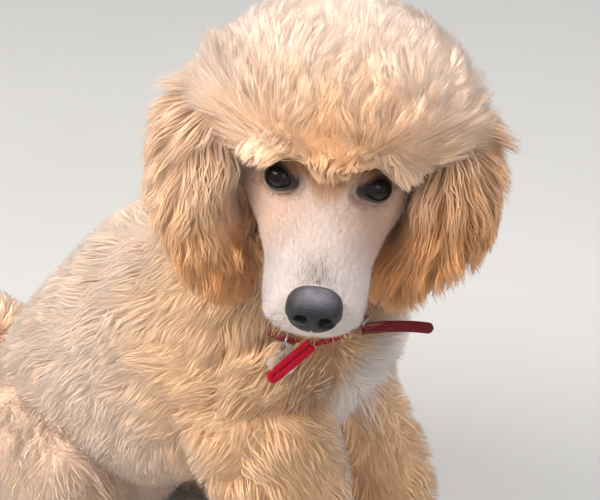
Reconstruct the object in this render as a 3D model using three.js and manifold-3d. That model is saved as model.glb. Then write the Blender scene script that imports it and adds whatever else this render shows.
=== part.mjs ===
// A young standard poodle sitting on the floor, looking back over its right shoulder, in a thin red
// collar with a round tag. Millimetres, +Z up. The chest faces -Y and the dog's left side is +X.
// The origin is on the floor under the middle of the dog. Face, throat, feet and the root of the tail
// are clipped short, and everything else is coat.
import * as THREE from "three";
import { mergeVertices } from "three/addons/utils/BufferGeometryUtils.js";
import Module from "manifold-3d";

const wasm = await Module();
wasm.setup();

// Driving sizes. The coat's figures are its depth from skin to tips, and a smooth core fills
// CORE_SHARE of that depth.
const GAP = 0.3;
const STANCE = new THREE.Vector3(0, -95, 0);
const EYES = new THREE.Vector3(-62, -144, 525);
const HEAD_YAW = -54;
const HEAD_PITCH = 17.7;
const HEAD_ROLL = 6.6;
const EYE_SPREAD = 28;
const EYE_LIFT = 3;
const EYE_RADIUS = 11;
const COAT = { body: 34, neck: 30, leg: 25, thigh: 27, shank: 22, ear: 19 };
const CORE_SHARE = 0.45;
const TOPKNOT = {
  centre: new THREE.Vector3(0, 38, 38),
  radii: new THREE.Vector3(86, 70, 58),
  core: new THREE.Vector3(66, 54, 38),
};

const COLOURS = {
  coat: 0xd9b285,
  face: 0xe8cdb4,
  ear: 0xc4965f,
  leather: 0x35343a,
  eye: 0x17120f,
  claw: 0x3a332e,
  collar: 0xb3122a,
  strap: 0x6e1620,
  steel: 0xc9ccd1,
  tag: 0xd8d6d0,
};

const root = new THREE.Group();
const vec = (x, y, z) => new THREE.Vector3(x, y, z);
const X_AXIS = vec(1, 0, 0);
const smooth = THREE.MathUtils.smoothstep;
const radians = THREE.MathUtils.degToRad;

// A seeded draw between 0 and 1, so that the coat is the same each time.
function makeRandom(seed) {
  let state = seed;
  return () => {
    state = (Math.imul(state, 1664525) + 1013904223) >>> 0;
    return state / 4294967296;
  };
}

// Solids: a closed geometry becomes one, and the largest closed surface of a result is kept.
function solid(geometry) {
  const bare = new THREE.BufferGeometry().setAttribute("position", geometry.getAttribute("position"));
  if (geometry.index) bare.setIndex(geometry.index);
  const merged = mergeVertices(bare, 1e-4);
  const vertProperties = merged.attributes.position.array;
  const triVerts = new Uint32Array(merged.index.array);
  const made = new wasm.Manifold(new wasm.Mesh({ numProp: 3, vertProperties, triVerts }));
  if (made.volume() > 0) return made;
  for (let i = 0; i < triVerts.length; i += 3) {
    [triVerts[i + 1], triVerts[i + 2]] = [triVerts[i + 2], triVerts[i + 1]];
  }
  return new wasm.Manifold(new wasm.Mesh({ numProp: 3, vertProperties, triVerts }));
}

const joined = (solids) => wasm.Manifold.union(solids);
const bigger = (one, other) => (other.volume() > one.volume() ? other : one);
const largest = (made) => made.decompose().reduce(bigger);
const floorCut = (made) => made.trimByPlane([0, 0, 1], 0);

function addNode(name, made, colour, roughness = 0.8, metalness = 0) {
  const { numProp, numVert, vertProperties, triVerts } = largest(made).getMesh();
  const position = new Float32Array(numVert * 3);
  for (let i = 0; i < numVert; i++) {
    position.set(vertProperties.subarray(i * numProp, i * numProp + 3), i * 3);
  }
  const geometry = new THREE.BufferGeometry()
    .setAttribute("position", new THREE.BufferAttribute(position, 3))
    .setIndex(new THREE.BufferAttribute(triVerts, 1));
  geometry.computeVertexNormals();
  const finish = new THREE.MeshStandardMaterial({ color: colour, roughness, metalness });
  const mesh = new THREE.Mesh(geometry, finish);
  mesh.name = name;
  mesh.position.copy(STANCE);
  root.add(mesh);
}

// A form swept through rings. Each ring has its centre, its half width across X, and its half depths
// on the upper and the lower side. A higher square makes the section boxier, and cap is the share of
// the length in which each end closes.
function sweptForm(rings, { around, along, square = 2, cap = 0.12, across = X_AXIS, shape }) {
  const places = rings.map((ring) => vec(...ring.at));
  const centres = new THREE.CatmullRomCurve3(places, false, "centripetal");
  const sizes = new THREE.CatmullRomCurve3(
    rings.map((ring) => vec(ring.wide, ring.up ?? ring.deep, ring.down ?? ring.deep)),
  );
  const closing = (u) => {
    const inset = Math.min(u, 1 - u) / cap;
    return inset >= 1 ? 1 : Math.sqrt(Math.max(0, 1 - (1 - inset) ** 2));
  };
  const power = (value) => Math.sign(value) * Math.abs(value) ** (2 / square);
  const at = (u, angle, grow = 0) => {
    const tangent = centres.getTangent(u);
    const side = across.clone().addScaledVector(tangent, -across.dot(tangent)).normalize();
    const above = side.clone().cross(tangent);
    const size = sizes.getPoint(u);
    const deep = Math.sin(angle) > 0 ? size.y : size.z;
    const closed = closing(u);
    const point = centres
      .getPoint(u)
      .addScaledVector(side, closed * (size.x + grow) * power(Math.cos(angle)))
      .addScaledVector(above, closed * (deep + grow) * power(Math.sin(angle)))
      .addScaledVector(tangent, grow * (1 - closed) * (u < 0.5 ? -1 : 1));
    return shape ? shape(point) : point;
  };
  const build = (grow = 0) => {
    const geometry = new THREE.SphereGeometry(1, around, along);
    const position = geometry.getAttribute("position");
    for (let row = 0; row <= along; row++) {
      const u = (1 - Math.cos((Math.PI * row) / along)) / 2;
      for (let column = 0; column <= around; column++) {
        const point = at(u, (2 * Math.PI * (column % around)) / around, grow);
        position.setXYZ(row * (around + 1) + column, point.x, point.y, point.z);
      }
    }
    return solid(geometry);
  };
  // Whether a point lies within the form, grown.
  const holds = (point, grow = 0) => {
    for (let i = 0; i <= 24; i++) {
      const centre = centres.getPoint(i / 24);
      const size = sizes.getPoint(i / 24);
      if (point.distanceTo(centre) < Math.min(size.x, size.y, size.z) + grow) return true;
    }
    return false;
  };
  const girth = (u, grow = 0) => {
    const size = sizes.getPoint(u);
    return 2 * Math.PI * closing(u) * ((size.x + (size.y + size.z) / 2) / 2 + grow);
  };
  return { at, build, holds, girth, length: centres.getLength() };
}

// One tuft of coat, made of rings from its sunken root to its tip. Each ring is given by how far it
// stands out and how far it lies along, as shares of the tuft's reach and length, and by its half
// width and half height as shares of the tuft's width. A clump is a rounded dome that leans along the
// lie. A lock is flat, leaves its root and tapers to a tip, and its rings stand across the lie.
const CLUMP = {
  sides: 5,
  rings: [
    [-0.5, 0, 0, 0],
    [0, 0.06, 1, 1.1],
    [0.72, 0.3, 0.76, 0.72],
    [1, 0.5, 0, 0],
  ],
};
const LOCK = {
  sides: 4,
  rings: [
    [-0.6, 0, 0, 0],
    [0.55, 0.2, 0.85, 0.36],
    [0.8, 0.52, 1, 0.38],
    [0.75, 0.8, 0.62, 0.24],
    [0.45, 1, 0, 0],
  ],
};
function tuft({ kind, base, out, lie, reach, length, width }, grow = 0) {
  const last = kind.rings.length - 1;
  const geometry = new THREE.SphereGeometry(1, kind.sides, last);
  const position = geometry.getAttribute("position");
  const side = out.clone().cross(lie).normalize();
  const across = kind === LOCK ? out : lie;
  kind.rings.forEach(([outward, along, wide, high], row) => {
    const end = row === 0 ? -grow : row === last ? grow : 0;
    const open = end ? 0 : 1;
    const centre = base.clone().addScaledVector(out, outward * reach + (row ? 0 : end));
    centre.addScaledVector(lie, along * length + (row ? end : 0));
    for (let column = 0; column <= kind.sides; column++) {
      const angle = (2 * Math.PI * (column % kind.sides)) / kind.sides;
      const point = centre
        .clone()
        .addScaledVector(side, open * (wide * width + grow) * Math.cos(angle))
        .addScaledVector(across, open * (high * width + grow) * Math.sin(angle));
      position.setXYZ(row * (kind.sides + 1) + column, point.x, point.y, point.z);
    }
  });
  return solid(geometry);
}

// The coat of a swept form: tufts in staggered rows, lying along the form and downwards.
function coatOf(form, options) {
  const { kind = CLUMP, depth, core, pitch, length, seed, skip = () => false } = options;
  const { along = 1, down = 0.5, from = 0, to = 1 } = options;
  const { fill = 0.62, hanging = false, thinning = 0 } = options;
  const random = makeRandom(seed);
  const places = [];
  const rows = Math.max(2, Math.round((form.length * (to - from)) / pitch));
  for (let row = 0; row < rows; row++) {
    const middle = from + ((to - from) * (row + 0.5)) / rows;
    const count = Math.max(3, Math.round(form.girth(middle, core) / pitch));
    for (let column = 0; column < count; column++) {
      const angle = (2 * Math.PI * (column + (row % 2) / 2 + 0.3 * (random() - 0.5))) / count;
      const shifted = middle + (0.3 * (random() - 0.5) * (to - from)) / rows;
      const u = THREE.MathUtils.clamp(shifted, 0.02, 0.98);
      const base = form.at(u, angle, core);
      const ahead = form.at(u + 0.02, angle, core).sub(form.at(u - 0.02, angle, core));
      const beside = form.at(u, angle + 0.1, core).sub(form.at(u, angle - 0.1, core));
      const out = ahead.normalize().cross(beside.normalize()).normalize();
      const opposite = form.at(u, angle + Math.PI, core);
      if (out.dot(base.clone().sub(opposite)) < 0) out.negate();
      if (hanging) out.setZ(0).normalize();
      const lie = form.at(u + 0.02, angle, core).sub(form.at(u - 0.02, angle, core)).normalize();
      lie.multiplyScalar(along).add(vec(0, 0, -down));
      lie.addScaledVector(out, -lie.dot(out)).normalize();
      const vary = 0.88 + 0.24 * random();
      const reach = (depth - core) * vary * (1 - thinning * u);
      const width = pitch * fill * vary * (1 - 0.6 * thinning * u);
      const place = { kind, base, out, lie, reach, length: length * vary, width };
      if (!skip(base, base.clone().addScaledVector(out, reach))) places.push(place);
    }
  }
  return places;
}

function dressed(form, core, places, grow = 0) {
  return joined([form.build(core + grow), ...places.map((place) => tuft(place, grow))]);
}

// The head is shaped in its own frame: x to the dog's left, y backwards, z up, with zero midway
// between the eyes.
const headTurn = new THREE.Euler(radians(HEAD_PITCH), radians(HEAD_ROLL), radians(HEAD_YAW), "ZXY");
const headFrame = new THREE.Matrix4().makeRotationFromEuler(headTurn).setPosition(EYES);
const onHead = (x, y, z) => vec(x, y, z).applyMatrix4(headFrame);
const headWay = (x, y, z) => vec(x, y, z).transformDirection(headFrame);
const placedOnHead = (made) => made.transform(headFrame.elements);
const bell = (value, centre, spread) => Math.exp(-(((value - centre) / spread) ** 2));

// The clipped face: a narrower bridge above full lips, a dip at each eye, a brow over it, and a
// cheek behind.
function faceShape({ x, y, z }) {
  const side = Math.sign(x) || 1;
  const bridge = bell(y, -48, 34) * smooth(z, -34, 2);
  const dip = bell(Math.abs(x), EYE_SPREAD + 4, 11) * bell(y, -5, 12) * bell(z, 4 + EYE_LIFT, 16);
  const brow = bell(Math.abs(x), EYE_SPREAD - 3, 15) * bell(y, 10, 9) * bell(z, 18 + EYE_LIFT, 12);
  const cheek = bell(y, 14, 16) * bell(z, -16, 18) * smooth(Math.abs(x), 25, 45);
  const stop = bell(x, 0, 9) * bell(y, -6, 14) * smooth(z, -5, 12);
  const across = x * (1 - 0.2 * bridge) + side * (2.5 * cheek - 3 * dip);
  return vec(across, y + 5 * dip - 2.5 * brow + 1.5 * stop, z - 1.5 * dip + 2 * brow - 2 * stop);
}

const headForm = sweptForm(
  [
    { at: [0, -86, -30], wide: 22, up: 15, down: 18 },
    { at: [0, -76, -29], wide: 28, up: 20, down: 23.5 },
    { at: [0, -58, -27], wide: 31, up: 22, down: 25 },
    { at: [0, -36, -25], wide: 33, up: 23, down: 24 },
    { at: [0, -14, -22], wide: 40, up: 26, down: 28 },
    { at: [0, 4, -18], wide: 48, up: 37, down: 33 },
    { at: [0, 28, -12], wide: 53, up: 45, down: 38 },
    { at: [0, 56, -6], wide: 52, up: 44, down: 40 },
    { at: [0, 84, 0], wide: 44, up: 34, down: 36 },
    { at: [0, 104, 2], wide: 32, up: 22, down: 26 },
  ],
  { around: 20, along: 20, square: 2.3, cap: 0.1, shape: faceShape },
);

// The topknot's edge is scissored from a point between the eyes, over each eye, to the temple. This
// is how far a point of the head is above it, seen from the front and above.
function aboveBrim({ x, y, z }) {
  const rise = 0.74 * y + 0.67 * z;
  const edge = -3 + 16 * smooth(Math.abs(x), 3, 18) - 13 * smooth(Math.abs(x), 30, 54);
  return rise - edge;
}

function crownWay(turn, z) {
  const flat = Math.sqrt(1 - z * z);
  return vec(flat * Math.cos(turn), flat * Math.sin(turn), z);
}

// Each lock of the topknot leaves the crown outwards and falls forwards, sideways or back, to end at
// the dome.
function topknotPlaces() {
  const random = makeRandom(7);
  const places = [];
  const count = 37;
  for (let i = 0; i < count; i++) {
    const turn = i * Math.PI * (3 - Math.sqrt(5));
    const way = crownWay(turn, 1 - (1.55 * (i + 0.5)) / count);
    const root = way.clone().multiply(TOPKNOT.core).add(TOPKNOT.centre);
    const dome = way.clone().multiply(TOPKNOT.radii).add(TOPKNOT.centre);
    const lie = vec(0.5 * way.x, 0.5 * way.y - 0.15, -0.7);
    lie.addScaledVector(way, -lie.dot(way)).normalize();
    const tip = dome.clone().addScaledVector(lie, 30);
    const behindEar = Math.abs(root.x) > 48 && root.z < 22;
    if (aboveBrim(tip) < 1 || tip.z < -20 || behindEar) continue;
    const vary = 0.9 + 0.2 * random();
    places.push({
      kind: LOCK,
      base: onHead(root.x, root.y, root.z),
      out: headWay(way.x, way.y, way.z),
      lie: headWay(lie.x, lie.y, lie.z),
      reach: root.distanceTo(dome) * (0.95 + 0.1 * random()),
      length: 44 * vary,
      width: 26 * vary,
    });
  }
  return places;
}

// The fringe: a row of locks along the brim, from temple to temple, longest over the stop between the
// eyes.
function fringePlaces() {
  const places = [];
  for (let i = -4; i <= 4; i++) {
    const turn = radians(i * 24);
    const way = vec(Math.sin(turn), -Math.cos(turn), 0.2).normalize();
    const root = way.clone().multiply(TOPKNOT.core).add(TOPKNOT.centre);
    const lie = vec(0, -0.1, -1);
    lie.addScaledVector(way, -lie.dot(way)).normalize();
    places.push({
      kind: LOCK,
      base: onHead(root.x, root.y, root.z),
      out: headWay(way.x, way.y, way.z),
      lie: headWay(lie.x, lie.y, lie.z),
      reach: 15,
      length: i === 0 ? 26 : 11 + 3 * Math.abs(i),
      width: 17,
    });
  }
  return places;
}
const headHair = [...topknotPlaces(), ...fringePlaces()];

// The core of the topknot, trimmed along its brim over the eyes and under the temples.
function topknotCore(grow = 0) {
  const geometry = new THREE.SphereGeometry(1, 10, 7);
  const size = TOPKNOT.core.clone().addScalar(grow);
  geometry.scale(size.x, size.y, size.z);
  geometry.translate(TOPKNOT.centre.x, TOPKNOT.centre.y, TOPKNOT.centre.z);
  const brim = vec(0, 0.74, 0.67).normalize();
  return placedOnHead(solid(geometry).trimByPlane(brim.toArray(), 12 - grow));
}

// An eye sits in a socket, inside a thick rim of lid.
function eyeBall(side, grow = 0) {
  const ball = new THREE.SphereGeometry(EYE_RADIUS + grow, 10, 8);
  ball.translate(side * EYE_SPREAD, 0, EYE_LIFT);
  return placedOnHead(solid(ball));
}

const EYE_LOOK = vec(0.3, -0.74, 0.6).normalize();
function eyeLids(side) {
  const look = EYE_LOOK.clone().multiply(vec(side, 1, 1));
  const rim = new THREE.TorusGeometry(9.2, 2.6, 5, 12);
  rim.scale(1.06, 0.92, 1);
  rim.applyQuaternion(new THREE.Quaternion().setFromUnitVectors(vec(0, 0, 1), look));
  rim.translate(side * EYE_SPREAD + look.x * 6.6, look.y * 6.6, EYE_LIFT + look.z * 6.6);
  return placedOnHead(solid(rim));
}

// A round rod along a smooth curve through points.
function rod(points, radius, sides, steps) {
  const extrudePath = new THREE.CatmullRomCurve3(points, false, "centripetal");
  const section = new THREE.Shape().absarc(0, 0, radius, 0, 2 * Math.PI);
  const turns = { extrudePath, steps, curveSegments: sides, bevelEnabled: false };
  return solid(new THREE.ExtrudeGeometry(section, turns));
}

// The line of the mouth: a shallow groove from under the nose back to its corner, along each side.
const LIP_LINE = [
  [35, -18, -40],
  [33.5, -36, -41.5],
  [31.5, -56, -41.5],
  [27, -72, -39.5],
  [16, -86, -38],
  [0, -93, -36.5],
];
function mouthGroove() {
  const left = LIP_LINE.map(([x, y, z]) => vec(x, y, z));
  const right = LIP_LINE.slice(0, -1).map(([x, y, z]) => vec(-x, y, z));
  return placedOnHead(rod([...left, ...right.reverse()], 1.3, 4, 16));
}

// The nose leather: a rounded block with two comma-shaped nostrils and a cleft below.
const NOSE = vec(0, -84, -17);
function noseLeather(grow = 0) {
  const geometry = new THREE.SphereGeometry(1, 12, 8);
  const position = geometry.getAttribute("position");
  for (let i = 0; i < position.count; i++) {
    const way = vec(position.getX(i), position.getY(i), position.getZ(i));
    const total = Math.abs(way.x) ** 2.6 + Math.abs(way.y) ** 2.6 + Math.abs(way.z) ** 2.6;
    way.multiplyScalar(total ** (-1 / 2.6));
    const narrow = 1 - 0.22 * smooth(-way.z, 0, 1);
    position.setXYZ(
      i,
      NOSE.x + way.x * (16.8 * narrow + grow),
      NOSE.y + way.y * (12 + grow) + 2.5 * Math.max(0, -way.z),
      NOSE.z + way.z * (14 + grow),
    );
  }
  return placedOnHead(solid(geometry));
}

function nostril(side) {
  const bore = new THREE.SphereGeometry(1, 8, 6);
  bore.scale(3.2, 6, 2.8);
  bore.rotateY(side * 0.35);
  bore.translate(NOSE.x + side * 7.6, NOSE.y - 11.5, NOSE.z - 2);
  const slit = new THREE.SphereGeometry(1, 8, 6);
  slit.scale(4.2, 5, 1.3);
  slit.rotateY(side * 0.3);
  slit.translate(NOSE.x + side * 12.6, NOSE.y - 7.5, NOSE.z - 4.5);
  return placedOnHead(joined([solid(bore), solid(slit)]));
}

function noseCleft() {
  const cleft = new THREE.CylinderGeometry(0.9, 0.9, 16, 6);
  cleft.rotateX(Math.PI / 2 - 1.3);
  cleft.translate(NOSE.x, NOSE.y - 12.4, NOSE.z - 10);
  return placedOnHead(solid(cleft));
}

// The trunk, neck, legs and tail as clipped, before their coat.
const trunk = sweptForm(
  [
    { at: [0, -112, 308], wide: 54, up: 56, down: 64 },
    { at: [0, -74, 324], wide: 66, up: 76, down: 84 },
    { at: [0, -24, 328], wide: 75, up: 86, down: 86 },
    { at: [0, 36, 296], wide: 77, up: 86, down: 90 },
    { at: [0, 98, 240], wide: 75, up: 80, down: 84 },
    { at: [0, 156, 178], wide: 72, up: 76, down: 76 },
    { at: [0, 200, 108], wide: 74, up: 72, down: 76 },
    { at: [0, 222, 42], wide: 66, up: 60, down: 56 },
    { at: [0, 226, 10], wide: 58, up: 50, down: 50 },
  ],
  { around: 12, along: 8, cap: 0.13 },
);
const neck = sweptForm(
  [
    { at: [0, -28, 350], wide: 74, up: 70, down: 70 },
    { at: [-2, -48, 410], wide: 62, up: 58, down: 62 },
    { at: [-8, -76, 468], wide: 54, up: 46, down: 56 },
    { at: [-12, -98, 520], wide: 48, up: 36, down: 52 },
    { at: [-12, -106, 552], wide: 42, up: 30, down: 46 },
  ],
  { around: 12, along: 6, cap: 0.1 },
);
function mirrored(side, rings) {
  return rings.map((ring) => ({ ...ring, at: [side * ring.at[0], ring.at[1], ring.at[2]] }));
}

// The forelegs stand in front of the chest, the right one nearly under its middle.
const RIGHT_FORELEG = [
  { at: [54, -60, 330], wide: 30, deep: 46 },
  { at: [51, -68, 285], wide: 32, deep: 45 },
  { at: [46, -83, 238], wide: 31, deep: 38 },
  { at: [44, -102, 160], wide: 26, deep: 28 },
  { at: [44, -111, 85], wide: 21, deep: 23 },
  { at: [44, -114, 36], wide: 20, deep: 21 },
];
const LEFT_FORELEG = [
  { at: [50, -58, 330], wide: 28, deep: 44 },
  { at: [52, -50, 285], wide: 28, deep: 38 },
  { at: [60, -56, 238], wide: 27, deep: 31 },
  { at: [74, -89, 160], wide: 26, deep: 29 },
  { at: [75, -104, 85], wide: 21, deep: 23 },
  { at: [73, -108, 36], wide: 20, deep: 21 },
];
const FORE_PAWS = { right: vec(-44, -121, 0), left: vec(73, -115, 0) };
function foreleg(side) {
  const rings = side > 0 ? LEFT_FORELEG : RIGHT_FORELEG;
  return sweptForm(mirrored(side, rings), { around: 8, along: 5, cap: 0.12 });
}
const thigh = (side) =>
  sweptForm(
    mirrored(side, [
      { at: [58, 236, 92], wide: 34, deep: 44 },
      { at: [66, 200, 116], wide: 42, deep: 70 },
      { at: [78, 152, 134], wide: 40, deep: 66 },
      { at: [86, 110, 146], wide: 33, deep: 48 },
      { at: [89, 80, 148], wide: 27, deep: 34 },
    ]),
    { around: 10, along: 6, cap: 0.16 },
  );
const shank = (side) =>
  sweptForm(
    mirrored(side, [
      { at: [90, 92, 134], wide: 27, deep: 34 },
      { at: [90, 140, 96], wide: 24, deep: 30 },
      { at: [88, 184, 62], wide: 20, deep: 24 },
      { at: [88, 200, 46], wide: 18, deep: 21 },
    ]),
    { around: 8, along: 5, cap: 0.12 },
  );
const pastern = (side) =>
  sweptForm(
    mirrored(side, [
      { at: [88, 208, 34], wide: 17, deep: 19 },
      { at: [90, 160, 28], wide: 18, deep: 18 },
      { at: [92, 118, 24], wide: 18, deep: 16 },
    ]),
    { around: 8, along: 4, cap: 0.14 },
  );
const tail = sweptForm(
  [
    { at: [0, 246, 78], wide: 19, deep: 19 },
    { at: [0, 292, 74], wide: 15, deep: 15 },
    { at: [4, 330, 84], wide: 12, deep: 12 },
    { at: [8, 358, 110], wide: 10, deep: 10 },
  ],
  { around: 8, along: 7, cap: 0.08 },
);

// Where the head leaves the neck, and the neck the trunk: two planes, each with a point and a normal.
const headCut = { at: onHead(0, 35, -50), way: headWay(0, -0.65, 0.76) };
const neckCut = { at: vec(0, -60, 384), way: vec(0, -0.5, 0.866).normalize() };
const above = (made, { at, way }) => made.trimByPlane(way.toArray(), at.dot(way) + GAP / 2);
const below = (made, { at, way }) =>
  made.trimByPlane(way.clone().negate().toArray(), -at.dot(way) + GAP / 2);

const coreOf = (depth) => depth * CORE_SHARE;
const sides = [
  [-1, "right"],
  [1, "left"],
];
const throat = onHead(0, 20, -60);
const trunkPlaces = coatOf(trunk, {
  depth: COAT.body,
  core: coreOf(COAT.body),
  pitch: 74,
  length: 50,
  seed: 11,
  down: 0.8,
  skip: (base, tip) =>
    tip.z < 14 ||
    neckCut.way.dot(base.clone().sub(neckCut.at)) > 4 ||
    sides.some(([side]) => thigh(side).holds(base, 18) || foreleg(side).holds(base, 17)),
});
const neckPlaces = coatOf(neck, {
  depth: COAT.neck,
  core: coreOf(COAT.neck),
  pitch: 68,
  length: 44,
  seed: 23,
  along: -1,
  down: 0.7,
  skip: (base) =>
    base.distanceTo(throat) < 44 ||
    headCut.way.dot(base.clone().sub(headCut.at)) > 2 ||
    neckCut.way.dot(base.clone().sub(neckCut.at)) < -12,
});

function headSolid(grow = 0) {
  const locks = headHair.map((one) => tuft(one, grow));
  const pieces = [placedOnHead(headForm.build(grow)), topknotCore(grow), ...locks];
  for (const [side] of sides) pieces.push(eyeLids(side));
  return above(joined(pieces), headCut);
}

// Ears hang from the sides of the skull: a flap within the hair, with a shallow cup inside, and long
// locks over it. Each path is a run of (out, down) steps from the ear's root, with the half thickness
// and half breadth there.
const EAR_PATHS = {
  right: [
    [-6, -10, 9, 18],
    [18, 10, 16, 27],
    [28, 48, 19, 32],
    [19, 94, 16, 30],
    [10, 130, 9, 20],
  ],
  left: [
    [-6, -10, 9, 18],
    [12, 12, 15, 27],
    [14, 50, 17, 31],
    [-9, 84, 14, 27],
    [-32, 106, 9, 18],
  ],
};
function earForm(side, name) {
  const start = onHead(side * 60, 40, 18);
  const out = headWay(side, 0, 0).setZ(0).normalize();
  const rings = EAR_PATHS[name].map(([outward, lower, thick, broad]) => ({
    at: start.clone().addScaledVector(out, outward).add(vec(0, 0, -lower)).toArray(),
    wide: thick,
    deep: broad,
  }));
  const form = sweptForm(rings, { around: 8, along: 6, cap: 0.2, across: out });
  const places = coatOf(form, {
    kind: LOCK,
    depth: COAT.ear,
    core: 0,
    pitch: 44,
    length: 66,
    seed: 41 + side,
    hanging: true,
    thinning: 0.55,
    fill: 0.6,
    from: 0.08,
    to: 0.82,
  });
  // The cup: a hollow in the flap's inner side, open forwards.
  const cup = new THREE.SphereGeometry(1, 10, 8);
  cup.scale(10, 20, 34);
  cup.rotateZ(radians(HEAD_YAW));
  const inner = onHead(side * 58, 26, -14).addScaledVector(out, EAR_PATHS[name][1][0] - 6);
  cup.translate(inner.x, inner.y, inner.z);
  return { form, places, cup: solid(cup) };
}

// A clipped foot: four arched toes in front of a pad, flat beneath.
const TOES = [
  [-15, -10],
  [-5.4, -19],
  [5.4, -19],
  [15, -10],
];
const FOOT_TOP = 26;
function footLump(at, turn, [x, y, z], [rx, ry, rz], grow, around = 6, rows = 4) {
  const geometry = new THREE.SphereGeometry(1, around, rows);
  geometry.scale(rx + grow, ry + grow, rz + grow);
  geometry.translate(x, y, z);
  geometry.rotateZ(turn);
  geometry.translate(at.x, at.y, at.z);
  return solid(geometry);
}
function foot(at, turn, grow = 0) {
  const toes = TOES.map(([x, y]) => footLump(at, turn, [x, y, 10], [7, 15, 10.5], grow));
  const pad = footLump(at, turn, [0, 8, 15], [19, 25, 18], grow, 7, 5);
  return floorCut(joined([pad, ...toes]));
}
function claw(at, turn, [x, y]) {
  const cone = new THREE.ConeGeometry(2.1, 12, 5, 1);
  cone.rotateX(Math.PI / 2 + 0.5);
  cone.translate(x, y - 17, 7.5);
  cone.rotateZ(turn);
  cone.translate(at.x, at.y, at.z);
  return solid(cone);
}

// The collar: a thin strap slung round the neck, lower at the throat.
const COLLAR = {
  centre: vec(-13, -66, 429.5),
  wide: 64,
  deep: 81,
  tilt: 33,
  turn: -21,
  height: 8,
  thick: 3,
  buckle: -67,
  loop: -104,
  ring: -120,
};
const collarFrame = new THREE.Matrix4()
  .makeRotationFromEuler(new THREE.Euler(radians(COLLAR.tilt), 0, radians(COLLAR.turn), "ZXY"))
  .setPosition(COLLAR.centre);
function collarRing(grow = 0) {
  const half = [COLLAR.thick / 2 + grow, COLLAR.height / 2 + grow];
  const corners = [[1, -1], [1, 1], [-1, 1], [-1, -1], [1, -1]];
  const outline = corners.map(
    ([out, up]) => new THREE.Vector2(COLLAR.deep + out * half[0], up * half[1]),
  );
  const ring = new THREE.LatheGeometry(outline, 20);
  ring.rotateX(Math.PI / 2);
  ring.scale(COLLAR.wide / COLLAR.deep, 1, 1);
  ring.applyMatrix4(collarFrame);
  return solid(ring);
}

// A point of the collar and the way it runs there, by its angle round the neck.
function onCollar(degrees) {
  const angle = radians(degrees);
  const at = vec(COLLAR.wide * Math.cos(angle), COLLAR.deep * Math.sin(angle), 0);
  at.applyMatrix4(collarFrame);
  const way = vec(-COLLAR.wide * Math.sin(angle), COLLAR.deep * Math.cos(angle), 0);
  way.transformDirection(collarFrame);
  return { at, way };
}

// A strip from one point to another: round at its far end, its flat face turned towards a given way.
function strip(from, to, face, { width, thick, bow = 0 }, grow = 0) {
  const length = from.distanceTo(to);
  const half = width / 2 + grow;
  const outline = new THREE.Shape().moveTo(-grow, -half).lineTo(length - width / 2, -half);
  outline.absarc(length - width / 2, 0, half, -Math.PI / 2, Math.PI / 2).lineTo(-grow, half);
  const depth = thick + 2 * grow;
  const options = { depth, bevelEnabled: false, curveSegments: 6 };
  const geometry = new THREE.ExtrudeGeometry(outline, options);
  geometry.translate(0, 0, -depth / 2);
  const position = geometry.getAttribute("position");
  for (let i = 0; i < position.count; i++) {
    const share = position.getX(i) / length;
    position.setY(i, position.getY(i) + bow * 4 * share * (1 - share));
  }
  const along = to.clone().sub(from).normalize();
  const normal = face.clone().addScaledVector(along, -face.dot(along)).normalize();
  const turn = new THREE.Matrix4().makeBasis(along, normal.clone().cross(along), normal);
  geometry.applyMatrix4(turn.setPosition(from));
  return solid(geometry);
}

// On the collar: a buckle, the free end of the strap beyond it, a split ring with a round tag hung
// from it, and a doubled loop of webbing that hangs over the tag.
const FRONT = vec(-0.66, -0.56, 0.5).normalize();
const IN_FRONT_DOWN = vec(0, 0, -1).addScaledVector(FRONT, FRONT.z).normalize();
const buckleSpot = onCollar(COLLAR.buckle);
const buckleFace = buckleSpot.at.clone().sub(COLLAR.centre).normalize();
const buckleUp = buckleFace.clone().cross(buckleSpot.way).normalize();
const BUCKLE_LIFT = 3;
function buckleSolid(grow = 0) {
  const block = new THREE.BoxGeometry(11 + 2 * grow, 14 + 2 * grow, 2 + 2 * grow);
  const hole = new THREE.BoxGeometry(7 - 2 * grow, 9 - 2 * grow, 6);
  const at = buckleSpot.at.clone().addScaledVector(buckleFace, COLLAR.thick / 2 + 1.5);
  const turn = new THREE.Matrix4()
    .makeBasis(buckleSpot.way, buckleUp, buckleFace)
    .setPosition(at.addScaledVector(buckleUp, BUCKLE_LIFT));
  return solid(block.applyMatrix4(turn)).subtract(solid(hole.applyMatrix4(turn)));
}
function strapEnd(grow = 0) {
  const from = buckleSpot.at.clone().addScaledVector(buckleFace, 8.6);
  from.addScaledVector(buckleSpot.way, -2).addScaledVector(buckleUp, BUCKLE_LIFT + 3);
  return strip(from, vec(16, -176, 388), FRONT, { width: 8, thick: 2.4, bow: 2 }, grow);
}
function webLoop(grow = 0) {
  const from = onCollar(COLLAR.loop).at.addScaledVector(FRONT, 10);
  return strip(from, vec(-92, -119.5, 377), FRONT, { width: 9, thick: 5 }, grow);
}
const ringSpot = onCollar(COLLAR.ring);
function splitRing(grow = 0) {
  const link = new THREE.TorusGeometry(5.8, 0.8 + grow, 5, 12);
  link.applyQuaternion(new THREE.Quaternion().setFromUnitVectors(vec(0, 0, 1), ringSpot.way));
  link.translate(ringSpot.at.x, ringSpot.at.y, ringSpot.at.z);
  return solid(link);
}
const hanging = IN_FRONT_DOWN.clone();
hanging.addScaledVector(ringSpot.way, -hanging.dot(ringSpot.way)).normalize();
const tagHole = ringSpot.at.clone().addScaledVector(hanging, 5.8);
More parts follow.
